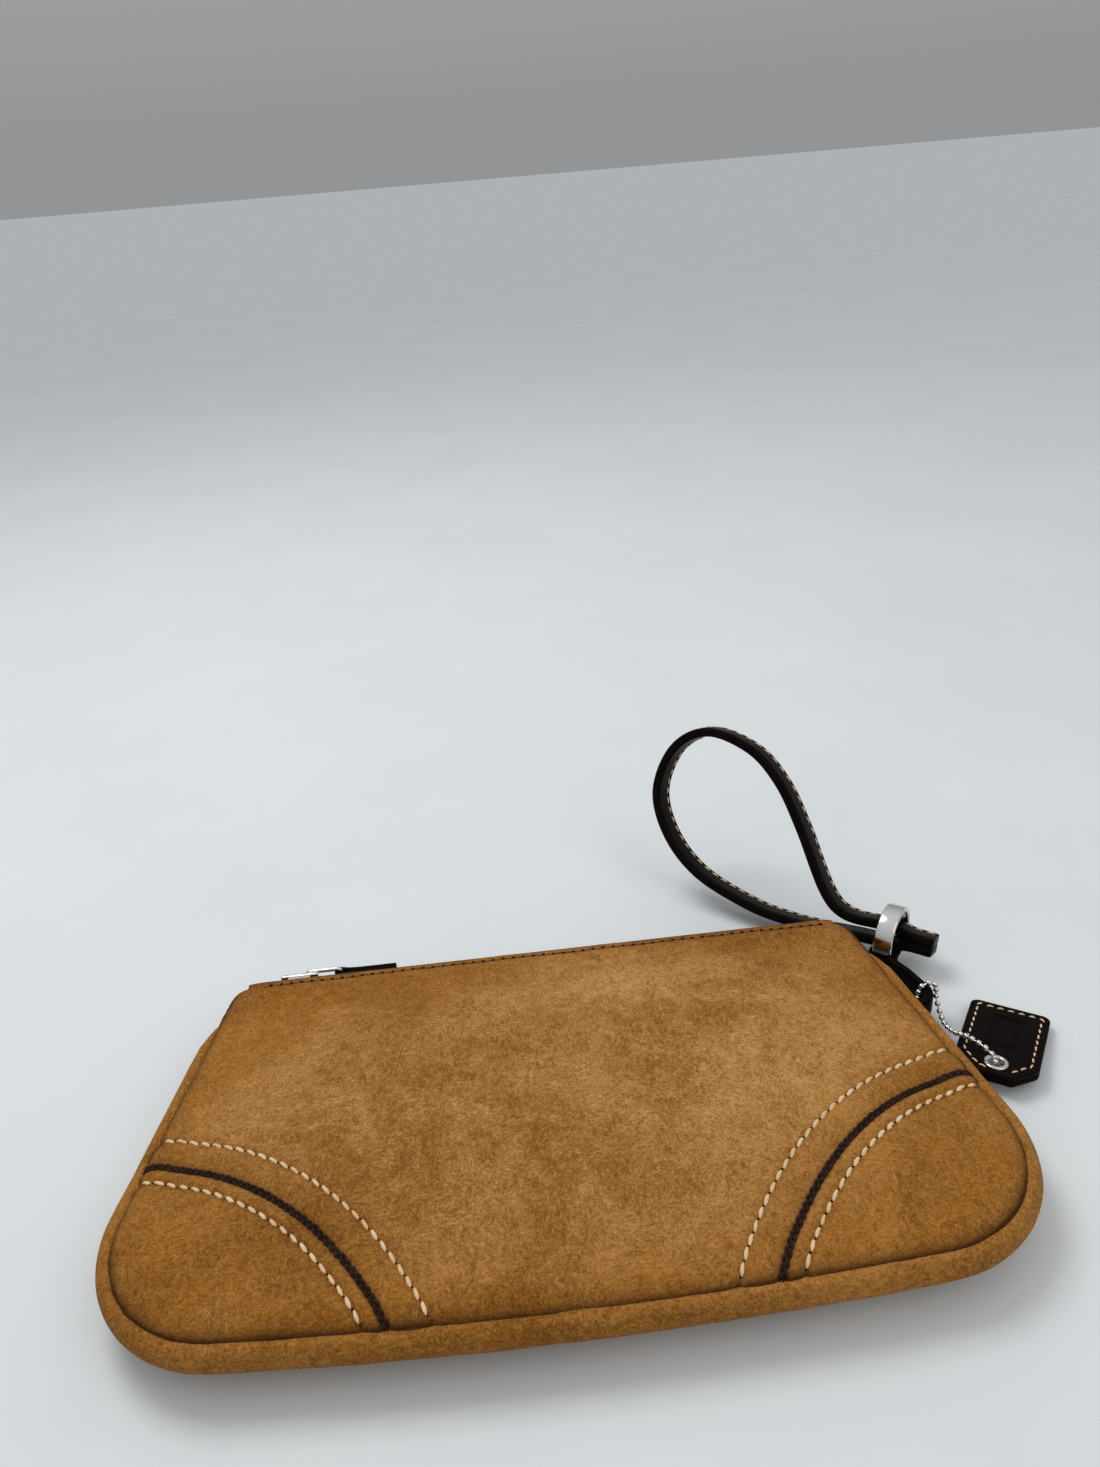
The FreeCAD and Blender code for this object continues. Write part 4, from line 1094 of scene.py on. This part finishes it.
def make_corner_threads():
    for side, name in ((-1, "left"), (1, "right")):
        for radius, row in ((OUTER_STITCH_RADIUS, "outer"), (INNER_STITCH_RADIUS, "inner")):
            angles = arc_angles(radius, 1.3)
            span = (angles[-1] - angles[0]) * radius
            count = int(span / PATCH_STITCH_PITCH)
            step = PATCH_STITCH_PITCH / radius
            middle = (angles[0] + angles[-1]) / 2
            at = middle + (np.arange(count) - (count - 1) / 2) * step
            places, normals = front_frame(*corner_point(side, radius, at))
            flat = np.stack([-side * np.sin(at), np.cos(at), 0 * at], axis=1)
            alongs = unit(flat - normals * (flat * normals).sum(axis=1, keepdims=True))
            batch = Batch()
            add_stitches(batch, places, alongs, normals, PATCH_STITCH_LENGTH, PATCH_STITCH_RADIUS,
                         0.16 * side, 50 + len(row) + side, 0.12)
            node = f"corner_stitches_{row}_{name}"
            batch.place(node + "_thread", CREAM_THREAD, "pouch", "cream_thread", node)
            # dark dimples between the stitches, coloured as painted shade in the needle holes
            places, normals = front_frame(*corner_point(side, radius, at + step / 2))
            batch = Batch()
            add_holes(batch, places, alongs, normals, 0.7, 0.6)
            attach(batch.build(f"corner_hole_shade_{row}_{name}", NEEDLE_HOLE_SHADE), "pouch")

        angles = arc_angles(CORD_RADIUS, 0.3)
        count = 420
        at = np.linspace(angles[0], angles[-1], count)
        places, normals = front_frame(*corner_point(side, CORD_RADIUS, at))
        alongs = tangents(places)
        sides = unit(np.cross(normals, alongs))
        length = path_lengths(places)
        batch = Batch()
        for strand in range(BRAID_STRANDS):
            slip = 0.10 * soft_noise(length, 4.0, 7.0, 67)
            phase = 2 * math.pi * (length / BRAID_LAY + strand / BRAID_STRANDS + slip)
            wobble = 1.0 + 0.25 * soft_noise(length, 9.0, 3.0, 61 + strand)
            centres = (places + sides * (BRAID_SPREAD * wobble * np.sin(phase))[:, None]
                       + normals * (0.40 + BRAID_RISE * np.sin(2 * phase))[:, None])
            headings = tangents(centres)
            strand_sides = unit(np.cross(normals, headings))
            strand_ups = unit(np.cross(headings, strand_sides))
            radii = BRAID_STRAND_RADIUS * (1.0 + 0.12 * soft_noise(length, 2.0, 1.6, 68 + strand))
            radii[:3] = radii[-3:] = 0.2
            batch.add(*tube(centres, radii, 8, strand_sides, strand_ups))
        batch.place(f"corner_cord_{name}_braid", DARK_THREAD, "pouch", "dark_thread", "corner_cord_" + name)


def make_top_stitches():
    half_length = TOP_HALF_WIDTH - TOP_CORNER_RADIUS
    count = int(2 * half_length / TOP_STITCH_PITCH)
    x = (np.arange(count) - (count - 1) / 2) * TOP_STITCH_PITCH
    y = np.full(count, HIGH_Y - TOP_STITCH_INSET)
    places, normals = front_frame(x, y)
    alongs = np.tile([1.0, 0.0, 0.0], (count, 1))
    batch = Batch()
    add_stitches(batch, places, alongs, normals, TOP_STITCH_LENGTH, 0.36, 0.12, 71, 0.10)
    batch.place("top_stitches_front_thread", TAN_THREAD, "pouch", "tan_thread", "top_stitches_front")
    # dark dimples between the stitches, coloured as painted shade in the needle holes
    places, normals = front_frame(x + TOP_STITCH_PITCH / 2, y)
    batch = Batch()
    add_holes(batch, places, alongs, normals, 1.2, 1.7)
    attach(batch.build("top_hole_shade_front", NEEDLE_HOLE_SHADE), "pouch")

    batch = Batch()
    back = np.column_stack([x, y, back_z(x, y, seam_distance(x, y)) - 0.05])
    add_stitches(batch, back, alongs, -normals, TOP_STITCH_LENGTH, 0.34, 0.12, 72)
    batch.place("top_stitches_back_thread", TAN_THREAD, "pouch", "tan_thread")


# ---- zip ----

def ribbon(batch, profile, thickness, low_x, high_x, count):
    """A woven strip that runs along X, from its section's centre line (y, z)."""
    along = tangents(profile)
    normal = np.stack([-along[:, 1], along[:, 0]], axis=1) * thickness / 2
    loop = np.vstack([profile + normal, (profile - normal)[::-1]])
    xs = np.linspace(low_x, high_x, count)
    points = np.array([[(x, y, z) for y, z in loop] for x in xs]).reshape(-1, 3)
    batch.add(points, closed_faces(count, len(loop)))


def make_tapes():
    for sign, name in ((1, "front"), (-1, "back")):
        profile = spline([(46.3, 1.25), (50.0, 1.3), (53.0, 1.3), (54.4, 1.3), (55.1, 1.3)], 16)
        profile[:, 1] = CHAIN_Z + sign * profile[:, 1]
        if sign < 0:
            profile = profile[::-1]
        batch = Batch()
        ribbon(batch, profile, 0.6, -TAPE_HALF_LENGTH, TAPE_HALF_LENGTH, 160)
        cord = np.column_stack([
            np.linspace(-TAPE_HALF_LENGTH + 1, TAPE_HALF_LENGTH - 1, 120),
            np.full(120, ZIP_FACE_Y + 0.35), np.full(120, CHAIN_Z + sign * 1.35),
        ])
        batch.add(*tube(cord, 0.42, 8, ALONG_Y, UP))
        batch.place(f"zip_tape_{name}_cloth", ZIP_TAPE, "pouch", "zip_tape", "zip_tape_" + name)


def rounded_block(batch, centre, half, corner, axes=None):
    """A block with rounded edges all round."""
    section = rounded_section(half[0], half[1], corner, 4)
    rows = []
    for sign, degrees in ((-1, (-90.0, -60.0, -30.0, 0.0)), (1, (0.0, 30.0, 60.0, 90.0))):
        for angle in np.radians(degrees):
            inset = corner * (1 - math.cos(angle))
            height = sign * (half[2] - corner) + corner * math.sin(angle)
            flat = section * (1 - inset / np.array(half[:2]))
            rows.append(np.column_stack([flat, np.full(len(flat), height)]))
    points = np.vstack(rows)
    if axes is not None:
        points = points @ np.array(axes, float)
    batch.add(points + np.asarray(centre, float), closed_faces(len(rows), len(section)))


def make_teeth():
    start = -TEETH_PER_SIDE * TOOTH_PITCH / 2
    for sign, name, shift in ((1, "front", 0.1), (-1, "back", 1.1)):
        batch = Batch()
        for tooth in range(TEETH_PER_SIDE):
            x = start + tooth * TOOTH_PITCH + shift + 0.4
            rounded_block(batch, (x, ZIP_FACE_Y + 1.1, CHAIN_Z + sign * 0.5), (0.40, 0.88, 0.98), 0.2)
            rounded_block(batch, (x, ZIP_FACE_Y + 1.1, CHAIN_Z + sign * 1.2), (0.58, 0.95, 0.42), 0.18)
        batch.place(f"zip_teeth_{name}_metal", WORN_NICKEL, "pouch", "nickel", "zip_teeth_" + name)
    end_x = start - 1.0
    start_x = start + (TEETH_PER_SIDE + 1) * TOOTH_PITCH + 1.0
    for x, name in ((end_x, "zip_stop_end"), (start_x, "zip_stop_start")):
        batch = Batch()
        rounded_block(batch, (x, ZIP_FACE_Y + 1.0, CHAIN_Z), (1.0, 1.0, 1.5), 0.35)
        batch.place(name + "_metal", WORN_NICKEL, "pouch", "nickel", name)


def arch(batch, start, end, height, base_y, z, width, thickness):
    """A small bail: a flat strip bent over between two feet."""
    t = np.linspace(0.0, 1.0, 25)
    x = start + (end - start) * t
    y = base_y + height * (1 - np.abs(2 * t - 1) ** 3.2)
    centres = np.column_stack([x, y, np.full(25, z)])
    section = rounded_section(width / 2, thickness / 2, thickness * 0.4, 4)
    batch.add(*sweep(centres, section, UP, unit(np.cross(UP, tangents(centres)))))


def make_slider():
    low, high = box_mm("zip_slider")
    middle_x = (low[0] + high[0]) / 2
    batch = Batch()
    plate_y = ZIP_FACE_Y + 2.75
    lying = ((1, 0, 0), (0, 0, 1), (0, 1, 0))
    rounded_block(batch, (middle_x, plate_y, CHAIN_Z), (5.0, 2.9, 0.55), 0.4, lying)
    for sign in (-1, 1):
        rounded_block(batch, (middle_x, ZIP_FACE_Y + 1.7, CHAIN_Z + sign * 2.3), (3.0, 0.8, 0.55), 0.25)
    arch(batch, middle_x - 3.15, middle_x + 3.15, 2.15, plate_y + 0.45, CHAIN_Z, 2.0, 0.9)
    batch.place("zip_slider_metal", NICKEL, "slider", "nickel", "zip_slider")


LINK_NEAR = np.array([-64.15, 56.45])
LINK_FAR = np.array([-55.15, 56.45])


LINK_HALF_WIDTH = 2.3
LINK_CORNER = 0.9
LINK_WIRE = 0.6
PULL_LENGTH = 15.0
PULL_WRAP = 1.28


def make_link():
    loop = rounded_section((LINK_FAR[0] - LINK_NEAR[0]) / 2, LINK_HALF_WIDTH, LINK_CORNER, 8)
    centres = np.column_stack([
        loop[:, 0] + (LINK_NEAR[0] + LINK_FAR[0]) / 2, np.full(len(loop), LINK_NEAR[1]), loop[:, 1] + CHAIN_Z,
    ])
    centres = even_loop(centres, 90)
    lefts = unit(np.cross(ALONG_Y, tangents(centres, closed=True)))
    batch = Batch()
    batch.add(*sweep(centres, round_section(LINK_WIRE, LINK_WIRE, 14), lefts, ALONG_Y, closed=True))
    batch.place("zip_pull_link_metal", NICKEL, "link", "nickel", "zip_pull_link")


def make_pull():
    """A leather strip folded round the link's far end and stitched to itself."""
    end_x, middle_y = LINK_FAR
    tail = end_x + PULL_LENGTH
    lower = [(tail, middle_y - 0.52), (end_x + 9.0, middle_y - 0.52), (end_x + 3.4, middle_y - 0.62)]
    upper = [(x, 2 * middle_y - y) for x, y in lower[::-1]]
    angles = np.radians(np.linspace(-60.0, -300.0, 14))
    wrap = [(end_x + PULL_WRAP * math.cos(a), middle_y + PULL_WRAP * math.sin(a)) for a in angles]
    line = spline(lower + wrap + upper, 110)
    centres = np.column_stack([line, np.full(110, CHAIN_Z)])
    batch = Batch()
    batch.add(*sweep(centres, rounded_section(1.6, 0.46, 0.3, 5), UP, unit(np.cross(UP, tangents(centres)))))
    batch.place("zip_pull_leather", DARK_LEATHER, "pull", "dark_leather", "zip_pull")
    stitches = Batch()
    xs = np.arange(end_x + 4.4, tail - 1.0, 2.3)
    count = len(xs)
    alongs = np.tile(ALONG_X, (count, 1))
    for sign in (-1, 1):
        normals = np.tile(sign * ALONG_Y, (count, 1))
        for z in (CHAIN_Z - 0.95, CHAIN_Z + 0.95):
            places = np.column_stack([xs, np.full(count, middle_y + sign * 0.99), np.full(count, z)])
            add_stitches(stitches, places, alongs, normals, 1.7, 0.2, 0.1, 81)
    stitches.place("zip_pull_stitches", CREAM_THREAD, "pull", "cream_thread")


# ---- lining and pocket ----

def make_lining():
    for name, top, thickness in (("lining_front", True, 0.6), ("lining_back", False, -0.6)):
        grid = panel_grid(3.4, 40, 70, 0.2, 45.0)
        x = grid[..., 0]
        y = grid[..., 1]
        near = seam_distance(x, y)
        wrinkle = 0.25 * soft_noise(x, y, 9.0, 91 + top) * smooth_step(near, 3.0, 10.0)
        if top:
            z = crown(x, y) + relief_at(x, y) - 2.7 + wrinkle - 0.5 * np.exp(-(near - 3.0) / 3.0)
        else:
            z = back_rise(x, y) + 2.6 + wrinkle + 0.8 * np.exp(-(near - 3.0) / 2.0)
        points, faces = wall_points(grid, z, thickness, 0.2)
        piece = add_mesh(name + "_cloth", points, faces, LINING_CLOTH)
        place_piece(piece, "pouch", "lining", name)
    low, high = box_mm("card_pocket")
    xs = np.linspace(low[0], high[0], 60)
    ys = np.linspace(low[1], high[1], 34)
    x, y = np.meshgrid(xs, ys)
    edge = np.minimum(np.minimum(x - low[0], high[0] - x), y - low[1])
    z = high[2] + 0.7 + 0.2 * soft_noise(x, y, 11.0, 97) - 1.1 * np.exp(-edge / 2.0)
    points, faces = wall_points(np.stack([x, y], axis=-1), z, 0.5, 0.2)
    piece = add_mesh("card_pocket_cloth", points, faces, LINING_CLOTH)
    place_piece(piece, "pouch", "lining", "card_pocket")


# ---- anchor tab, ring and strap ----

def tab_path():
    towards = EYE_CENTRE - TAB_BEND_CENTRE
    leave = math.atan2(towards[1], towards[0]) - math.acos(TAB_BEND_RADIUS / np.linalg.norm(towards))
    angles = np.linspace(-math.pi / 2, leave, 30)
    bend = TAB_BEND_CENTRE + TAB_BEND_RADIUS * np.stack([np.cos(angles), np.sin(angles)], axis=1)
    heading = np.array([-math.sin(leave), math.cos(leave)])
    reach = np.dot(EYE_CENTRE - bend[-1], heading) - 2.6
    return np.vstack([TAB_ROOT, bend, bend[-1] + heading * reach])


def make_tab():
    batch = Batch()
    count = 90
    path = resample(tab_path(), count)
    middle_z = sum(TAB_Z) / 2
    centres = np.column_stack([path, np.full(count, middle_z)])
    half_height = (TAB_Z[1] - TAB_Z[0]) / 2
    narrow = 1.0 - 0.30 * smooth_step(np.linspace(0, 1, count), 0.72, 0.95)
    section = rounded_section(1.0, 1.0, 0.35, 6)
    sections = np.stack([section * (half_height * share, 0.93) for share in narrow])
    batch.add(*sweep(centres, sections, UP, unit(np.cross(UP, tangents(centres)))))
    loop = rounded_section(EYE_HALF[0], EYE_HALF[1], 1.1, 8)
    loop = even_loop(loop[:, 0:1] * RING_AXIS[:2] + loop[:, 1:2] * RING_ACROSS[:2] + EYE_CENTRE, 80)
    centres = np.column_stack([loop, np.full(80, sum(EYE_Z) / 2)])
    ups = unit(np.cross(UP, tangents(centres, closed=True)))
    section = rounded_section((EYE_Z[1] - EYE_Z[0]) / 2, 0.45, 0.3, 5)
    batch.add(*sweep(centres, section, UP, ups, closed=True))
    batch.place("anchor_tab_leather", DARK_LEATHER, "pouch", "dark_leather", "anchor_tab")


def lathe(profile, centre, axis, across, steps):
    """Closed ring from a closed (radius, along) profile turned about an axis."""
    other = np.cross(axis, across)
    rows = []
    for angle in np.linspace(0, 2 * math.pi, steps, endpoint=False):
        spoke = across * math.cos(angle) + other * math.sin(angle)
        rows.append(centre + np.outer(profile[:, 0], spoke) + np.outer(profile[:, 1], axis))
    points = np.vstack(rows)
    return points, strip_faces(steps, len(profile), wrap_rows=True, wrap_columns=True)


def make_ring():
    batch = Batch()
    section = rounded_section(RING_WALL / 2, RING_WIDTH / 2, 0.5, 8)
    swell = 0.16 * (1 - (section[:, 1] / (RING_WIDTH / 2)) ** 2)
    section[:, 0] += RING_RADIUS - RING_WALL / 2 - 0.16 + np.where(section[:, 0] > 0, swell, 0)
    batch.add(*lathe(section, RING_CENTRE, RING_AXIS, RING_ACROSS, 160))
    reach = RING_RADIUS - RING_WALL / 2 - 0.3
    bar = RING_CENTRE + np.outer(np.linspace(-reach, reach, 24), STRAP_ACROSS)
    batch.add(*tube(bar, RING_BAR_RADIUS, 16, RING_AXIS, STRAP_UP))
    batch.place("strap_ring_metal", NICKEL, "ring", "nickel", "strap_ring")


def strap_section():
    """Section of a crowned strap, with a dip under its stitch row on each face."""
    dense = even_loop(rounded_section(STRAP_WIDTH / 2, STRAP_THICKNESS / 2, 0.75, 6), 76)
    row = np.abs(dense[:, 0] - STITCH_ROW)
    face = np.abs(dense[:, 1]) > STRAP_THICKNESS / 2 - 0.1
    dense[:, 1] -= np.sign(dense[:, 1]) * 0.16 * dip(row, 0.45) * face
    dense[:, 1] += np.sign(dense[:, 1]) * 0.10 * (1 - (dense[:, 0] / STRAP_WIDTH * 2) ** 2) * face
    return dense


def make_strap():
    count = 520
    line = spline(STRAP_LINE, count)
    base = RING_CENTRE + STRAP_ACROSS * STRAP_SHIFT
    centres = base - np.outer(line[:, 0], RING_AXIS) + np.outer(line[:, 1], STRAP_UP)
    ups = unit(np.cross(tangents(centres), STRAP_ACROSS))
    sections = np.tile(strap_section(), (count, 1, 1))
    for index, size in ((0, 0.93), (1, 0.985), (-2, 0.985), (-1, 0.93)):
        sections[index] *= size
    batch = Batch()
    batch.add(*sweep(centres, sections, STRAP_ACROSS, ups))
    batch.place("wrist_strap_leather", DARK_LEATHER, "strap", "dark_leather", "wrist_strap")

    length = path_lengths(centres)
    at = np.arange(2.0, length[-1] - 2.0, STRAP_STITCH_PITCH)
    batch = Batch()
    for face in (1, -1):
        places = np.stack([np.interp(at, length, centres[:, k]) for k in range(3)], axis=1)
        normals = unit(np.stack([np.interp(at, length, ups[:, k]) for k in range(3)], axis=1)) * face
        alongs = unit(np.cross(normals, STRAP_ACROSS))
        out = -np.sum((places - base) * RING_AXIS, axis=1)
        above = (places - base) @ STRAP_UP
        between_plies = (out < STRAP_PLIES_PART) & (np.sign(normals @ STRAP_UP) != np.sign(above))
        keep = ~between_plies
        places = places + STRAP_ACROSS * STITCH_ROW + normals * (STRAP_THICKNESS / 2 - 0.05)
        add_stitches(batch, places[keep], alongs[keep], normals[keep], 2.3, 0.27, 0.08, 90 + face, 0.08)
    batch.place("strap_stitches_thread", CREAM_THREAD, "strap", "cream_thread", "strap_stitches")


# ---- hangtag and chain ----

def tag_axes():
    """Unit vectors of the tag: across it, along it to the eyelet, and out of its face."""
    turn = TAG_DIRECTION - math.pi / 2
    across = np.array([math.cos(turn), math.sin(turn), 0.0])
    level = np.array([-math.sin(turn), math.cos(turn), 0.0])
    along = level * math.cos(TAG_TILT) + UP * math.sin(TAG_TILT)
    out = UP * math.cos(TAG_TILT) - level * math.sin(TAG_TILT)
    return across, along, out


TAG_ACROSS, TAG_ALONG, TAG_OUT = tag_axes()


def on_tag(points):
    points = np.asarray(points, float)
    return (TAG_TOP_MIDDLE + points[..., 0:1] * TAG_ACROSS + points[..., 1:2] * TAG_ALONG
            + points[..., 2:3] * TAG_OUT)


def tag_outline(inset=0.0, spacing=0.35):
    """Rounded outline of the tag, moved inwards."""
    half = TAG_HALF_WIDTH
    shoulder = TAG_LENGTH - TAG_CHAMFER[1]
    nose = half - TAG_CHAMFER[0]
    right = [(half, 0.0), (half, shoulder), (nose, TAG_LENGTH)]
    corners = np.array([(-half, 0.0)] + right + [(-x, y) for x, y in right[:0:-1]])
    points = []
    for index, corner in enumerate(corners):
        before = unit(corners[index - 1] - corner)
        after = unit(corners[(index + 1) % 6] - corner)
        half_angle = math.acos(np.dot(before, after)) / 2
        bisector = unit(before + after)
        centre = corner + bisector * TAG_CORNER / math.sin(half_angle)
        start = corner + before * TAG_CORNER / math.tan(half_angle) - centre
        end = corner + after * TAG_CORNER / math.tan(half_angle) - centre
        for t in np.linspace(0, 1, 9):
            spoke = unit(start * (1 - t) + end * t) * (TAG_CORNER - min(inset, TAG_CORNER - 0.3))
            extra = max(0.0, inset - (TAG_CORNER - 0.3))
            points.append(centre + spoke + bisector * extra / math.sin(half_angle))
    points = np.array(points + [points[0]])
    count = int(path_lengths(points)[-1] / spacing)
    return resample(points, count, closed=True)


def tag_ply(name, low_z, high_z, seed):
    """One leather ply: a crowned plate with soft edges and a hole for the eyelet."""
    outline = tag_outline(0.0, 0.45)
    hub = np.array([0.0, EYELET_ALONG])
    spokes = outline - hub
    steps = np.linspace(0.0, 1.0, 34)
    rim = unit(spokes) * (EYELET_HOLE + 0.4)
    edge = 0.42

    def layer(face_z, sign):
        rows = []
        for step in steps:
            flat = rim * (1 - step) + spokes * (step * (1 - edge / np.linalg.norm(spokes, axis=1)))[:, None]
            flat = flat + hub
            puff = 0.10 * soft_noise(flat[:, 0], flat[:, 1], 7.0, seed)
            rows.append(np.column_stack([flat, face_z + sign * puff * (1 - step)]))
        return rows

    rows = layer(high_z, 1.0)
    for face_z, sign, degrees in ((high_z, -1, (30.0, 60.0, 90.0)), (low_z, 1, (90.0, 60.0, 30.0))):
        for angle in np.radians(degrees):
            flat = outline - unit(spokes) * edge * (1 - math.sin(angle))
            height = face_z + sign * edge * (1 - math.cos(angle))
            rows.append(np.column_stack([flat, np.full(len(flat), height)]))
    rows += layer(low_z, 0.0)[::-1]
    points = on_tag(np.vstack(rows))
    faces = strip_faces(len(rows), len(outline), wrap_rows=True, wrap_columns=True)
    faces = [face[::-1] for face in faces]
    piece = add_mesh(name + "_leather", points, faces, DARK_LEATHER)
    place_piece(piece, "tag", "dark_leather", name)


def make_tag():
    tag_ply("hangtag_back", 0.0, TAG_PLY - 0.02, 101)
    tag_ply("hangtag_front", TAG_PLY + 0.02, 2 * TAG_PLY, 102)
    top_z = 2 * TAG_PLY
    row = tag_outline(TAG_STITCH_INSET, 0.2)
    count = int(path_lengths(np.vstack([row, row[0]]))[-1] / TAG_STITCH_PITCH)
    spots = even_loop(row, count)
    heading = tangents(spots, closed=True)
    clear = np.linalg.norm(spots - np.array([0.0, EYELET_ALONG]), axis=1) > 3.5
    alongs = heading[:, 0:1] * TAG_ACROSS + heading[:, 1:2] * TAG_ALONG
    normals = np.tile(TAG_OUT, (count, 1))
    places = on_tag(np.column_stack([spots, np.full(count, top_z + 0.03)]))
    batch = Batch()
    add_stitches(batch, places[clear], alongs[clear], normals[clear], 1.9, 0.24, 0.10, 103)
    batch.place("hangtag_stitches_thread", CREAM_THREAD, "tag", "cream_thread", "hangtag_stitches")

    batch = Batch()
    for half_x, half_y, width in ((3.6, 6.3, 0.32), (2.7, 5.4, 0.18)):
        loop = even_loop(rounded_section(half_x, half_y, 0.6, 5), 120) + [0.0, EMBOSS_ALONG]
        centres = on_tag(np.column_stack([loop, np.full(120, top_z + 0.02)]))
        lefts = unit(np.cross(TAG_OUT, tangents(centres, closed=True)))
        batch.add(*sweep(centres, round_section(width, 0.22, 10), lefts, TAG_OUT, closed=True))
    batch.place("hangtag_emboss", DARK_LEATHER, "tag", "dark_leather")

    top = top_z + 0.32
    shape = np.array([
        (EYELET_HOLE, 0.2), (EYELET_HOLE, top_z - 0.2), (EYELET_HOLE + 0.15, top - 0.08), (2.1, top),
        (2.6, top - 0.08), (2.9, top_z + 0.04), (2.85, top_z - 0.02), (2.15, top_z - 0.05), (2.12, 0.05),
        (2.85, 0.02), (2.9, -0.04), (2.6, -0.24), (2.1, -0.32), (EYELET_HOLE + 0.15, -0.24),
    ])
    centre = on_tag(np.array([0.0, EYELET_ALONG, 0.0]))
    batch = Batch()
    batch.add(*lathe(shape, centre, TAG_OUT, TAG_ACROSS, 64))
    batch.place("hangtag_eyelet_metal", NICKEL, "tag", "nickel", "hangtag_eyelet")


def make_chain():
    dense = spline(CHAIN_ROUTE, 900, closed=True)
    count = round(path_lengths(np.vstack([dense, dense[0]]))[-1] / BEAD_PITCH)
    places = even_loop(dense, count)
    batch = Batch()
    polar = np.linspace(math.radians(16.0), math.radians(164.0), 13)
    for index, place in enumerate(places):
        following = places[(index + 1) % count]
        before = places[index - 1]
        axis = unit(following - before)
        side = unit(np.cross(axis, UP + 0.1 * RING_AXIS))
        other = np.cross(axis, side)
        centres = place - np.outer(np.cos(polar) * BEAD_RADIUS, axis)
        batch.add(*tube(centres, np.sin(polar) * BEAD_RADIUS, 18, side, other))
        wire = place + np.outer(np.linspace(0, 1, 4), following - place)
        batch.add(*tube(wire, CHAIN_WIRE, 8, side, other))
    batch.place("tag_chain_beads", NICKEL, "chain", "nickel", "tag_chain")


# ---- studio ----

WORLD_STRENGTH = 0.72
FLOOR_HALF = 30000.0
# name, place, width, power
LAMPS = (
    ("key_light", (-260.0, 330.0, 760.0), 420.0, 2.6),
    ("fill_light", (420.0, -420.0, 520.0), 600.0, 0.8),
)


def make_studio():
    points = [(x * FLOOR_HALF, y * FLOOR_HALF, 0.0) for x, y in ((-1, -1), (1, -1), (1, 1), (-1, 1))]
    floor = add_mesh("floor", points, [(0, 1, 2, 3)], floor_material())
    world = bpy.data.worlds.new("studio")
    world.use_nodes = True
    tree = world.node_tree
    background = tree.nodes["Background"]
    place = tree.nodes.new("ShaderNodeTexCoord")
    split = tree.nodes.new("ShaderNodeSeparateXYZ")
    ramp = tree.nodes.new("ShaderNodeValToRGB")
    ramp.color_ramp.elements[0].position = 0.52
    ramp.color_ramp.elements[0].color = (0.40, 0.41, 0.42, 1.0)
    ramp.color_ramp.elements[1].position = 0.95
    ramp.color_ramp.elements[1].color = (0.96, 0.98, 1.0, 1.0)
    lift = tree.nodes.new("ShaderNodeMath")
    lift.operation = "MULTIPLY_ADD"
    lift.inputs[1].default_value = 0.5
    lift.inputs[2].default_value = 0.5
    tree.links.new(place.outputs["Generated"], split.inputs["Vector"])
    tree.links.new(split.outputs["Z"], lift.inputs[0])
    tree.links.new(lift.outputs["Value"], ramp.inputs["Fac"])
    tree.links.new(ramp.outputs["Color"], background.inputs["Color"])
    background.inputs["Strength"].default_value = WORLD_STRENGTH
    bpy.context.scene.world = world
    for name, spot, width, power in LAMPS:
        data = bpy.data.lights.new(name, "AREA")
        data.shape = "DISK"
        data.size = width * MM
        data.energy = power
        lamp = bpy.data.objects.new(name, data)
        turn = Vector(spot).normalized().to_track_quat("Z", "Y").to_matrix().to_4x4()
        lamp.matrix_world = Matrix.Translation(Vector(spot) * MM) @ turn
        bpy.context.collection.objects.link(lamp)
    bpy.context.scene.view_settings.view_transform = "Standard"


make_camera()
make_front()
make_back()
make_band()
make_mouth_sides()
make_corner_threads()
make_top_stitches()
make_tapes()
make_teeth()
make_slider()
make_link()
make_pull()
make_lining()
make_tab()
make_ring()
make_strap()
make_tag()
make_chain()
make_studio()
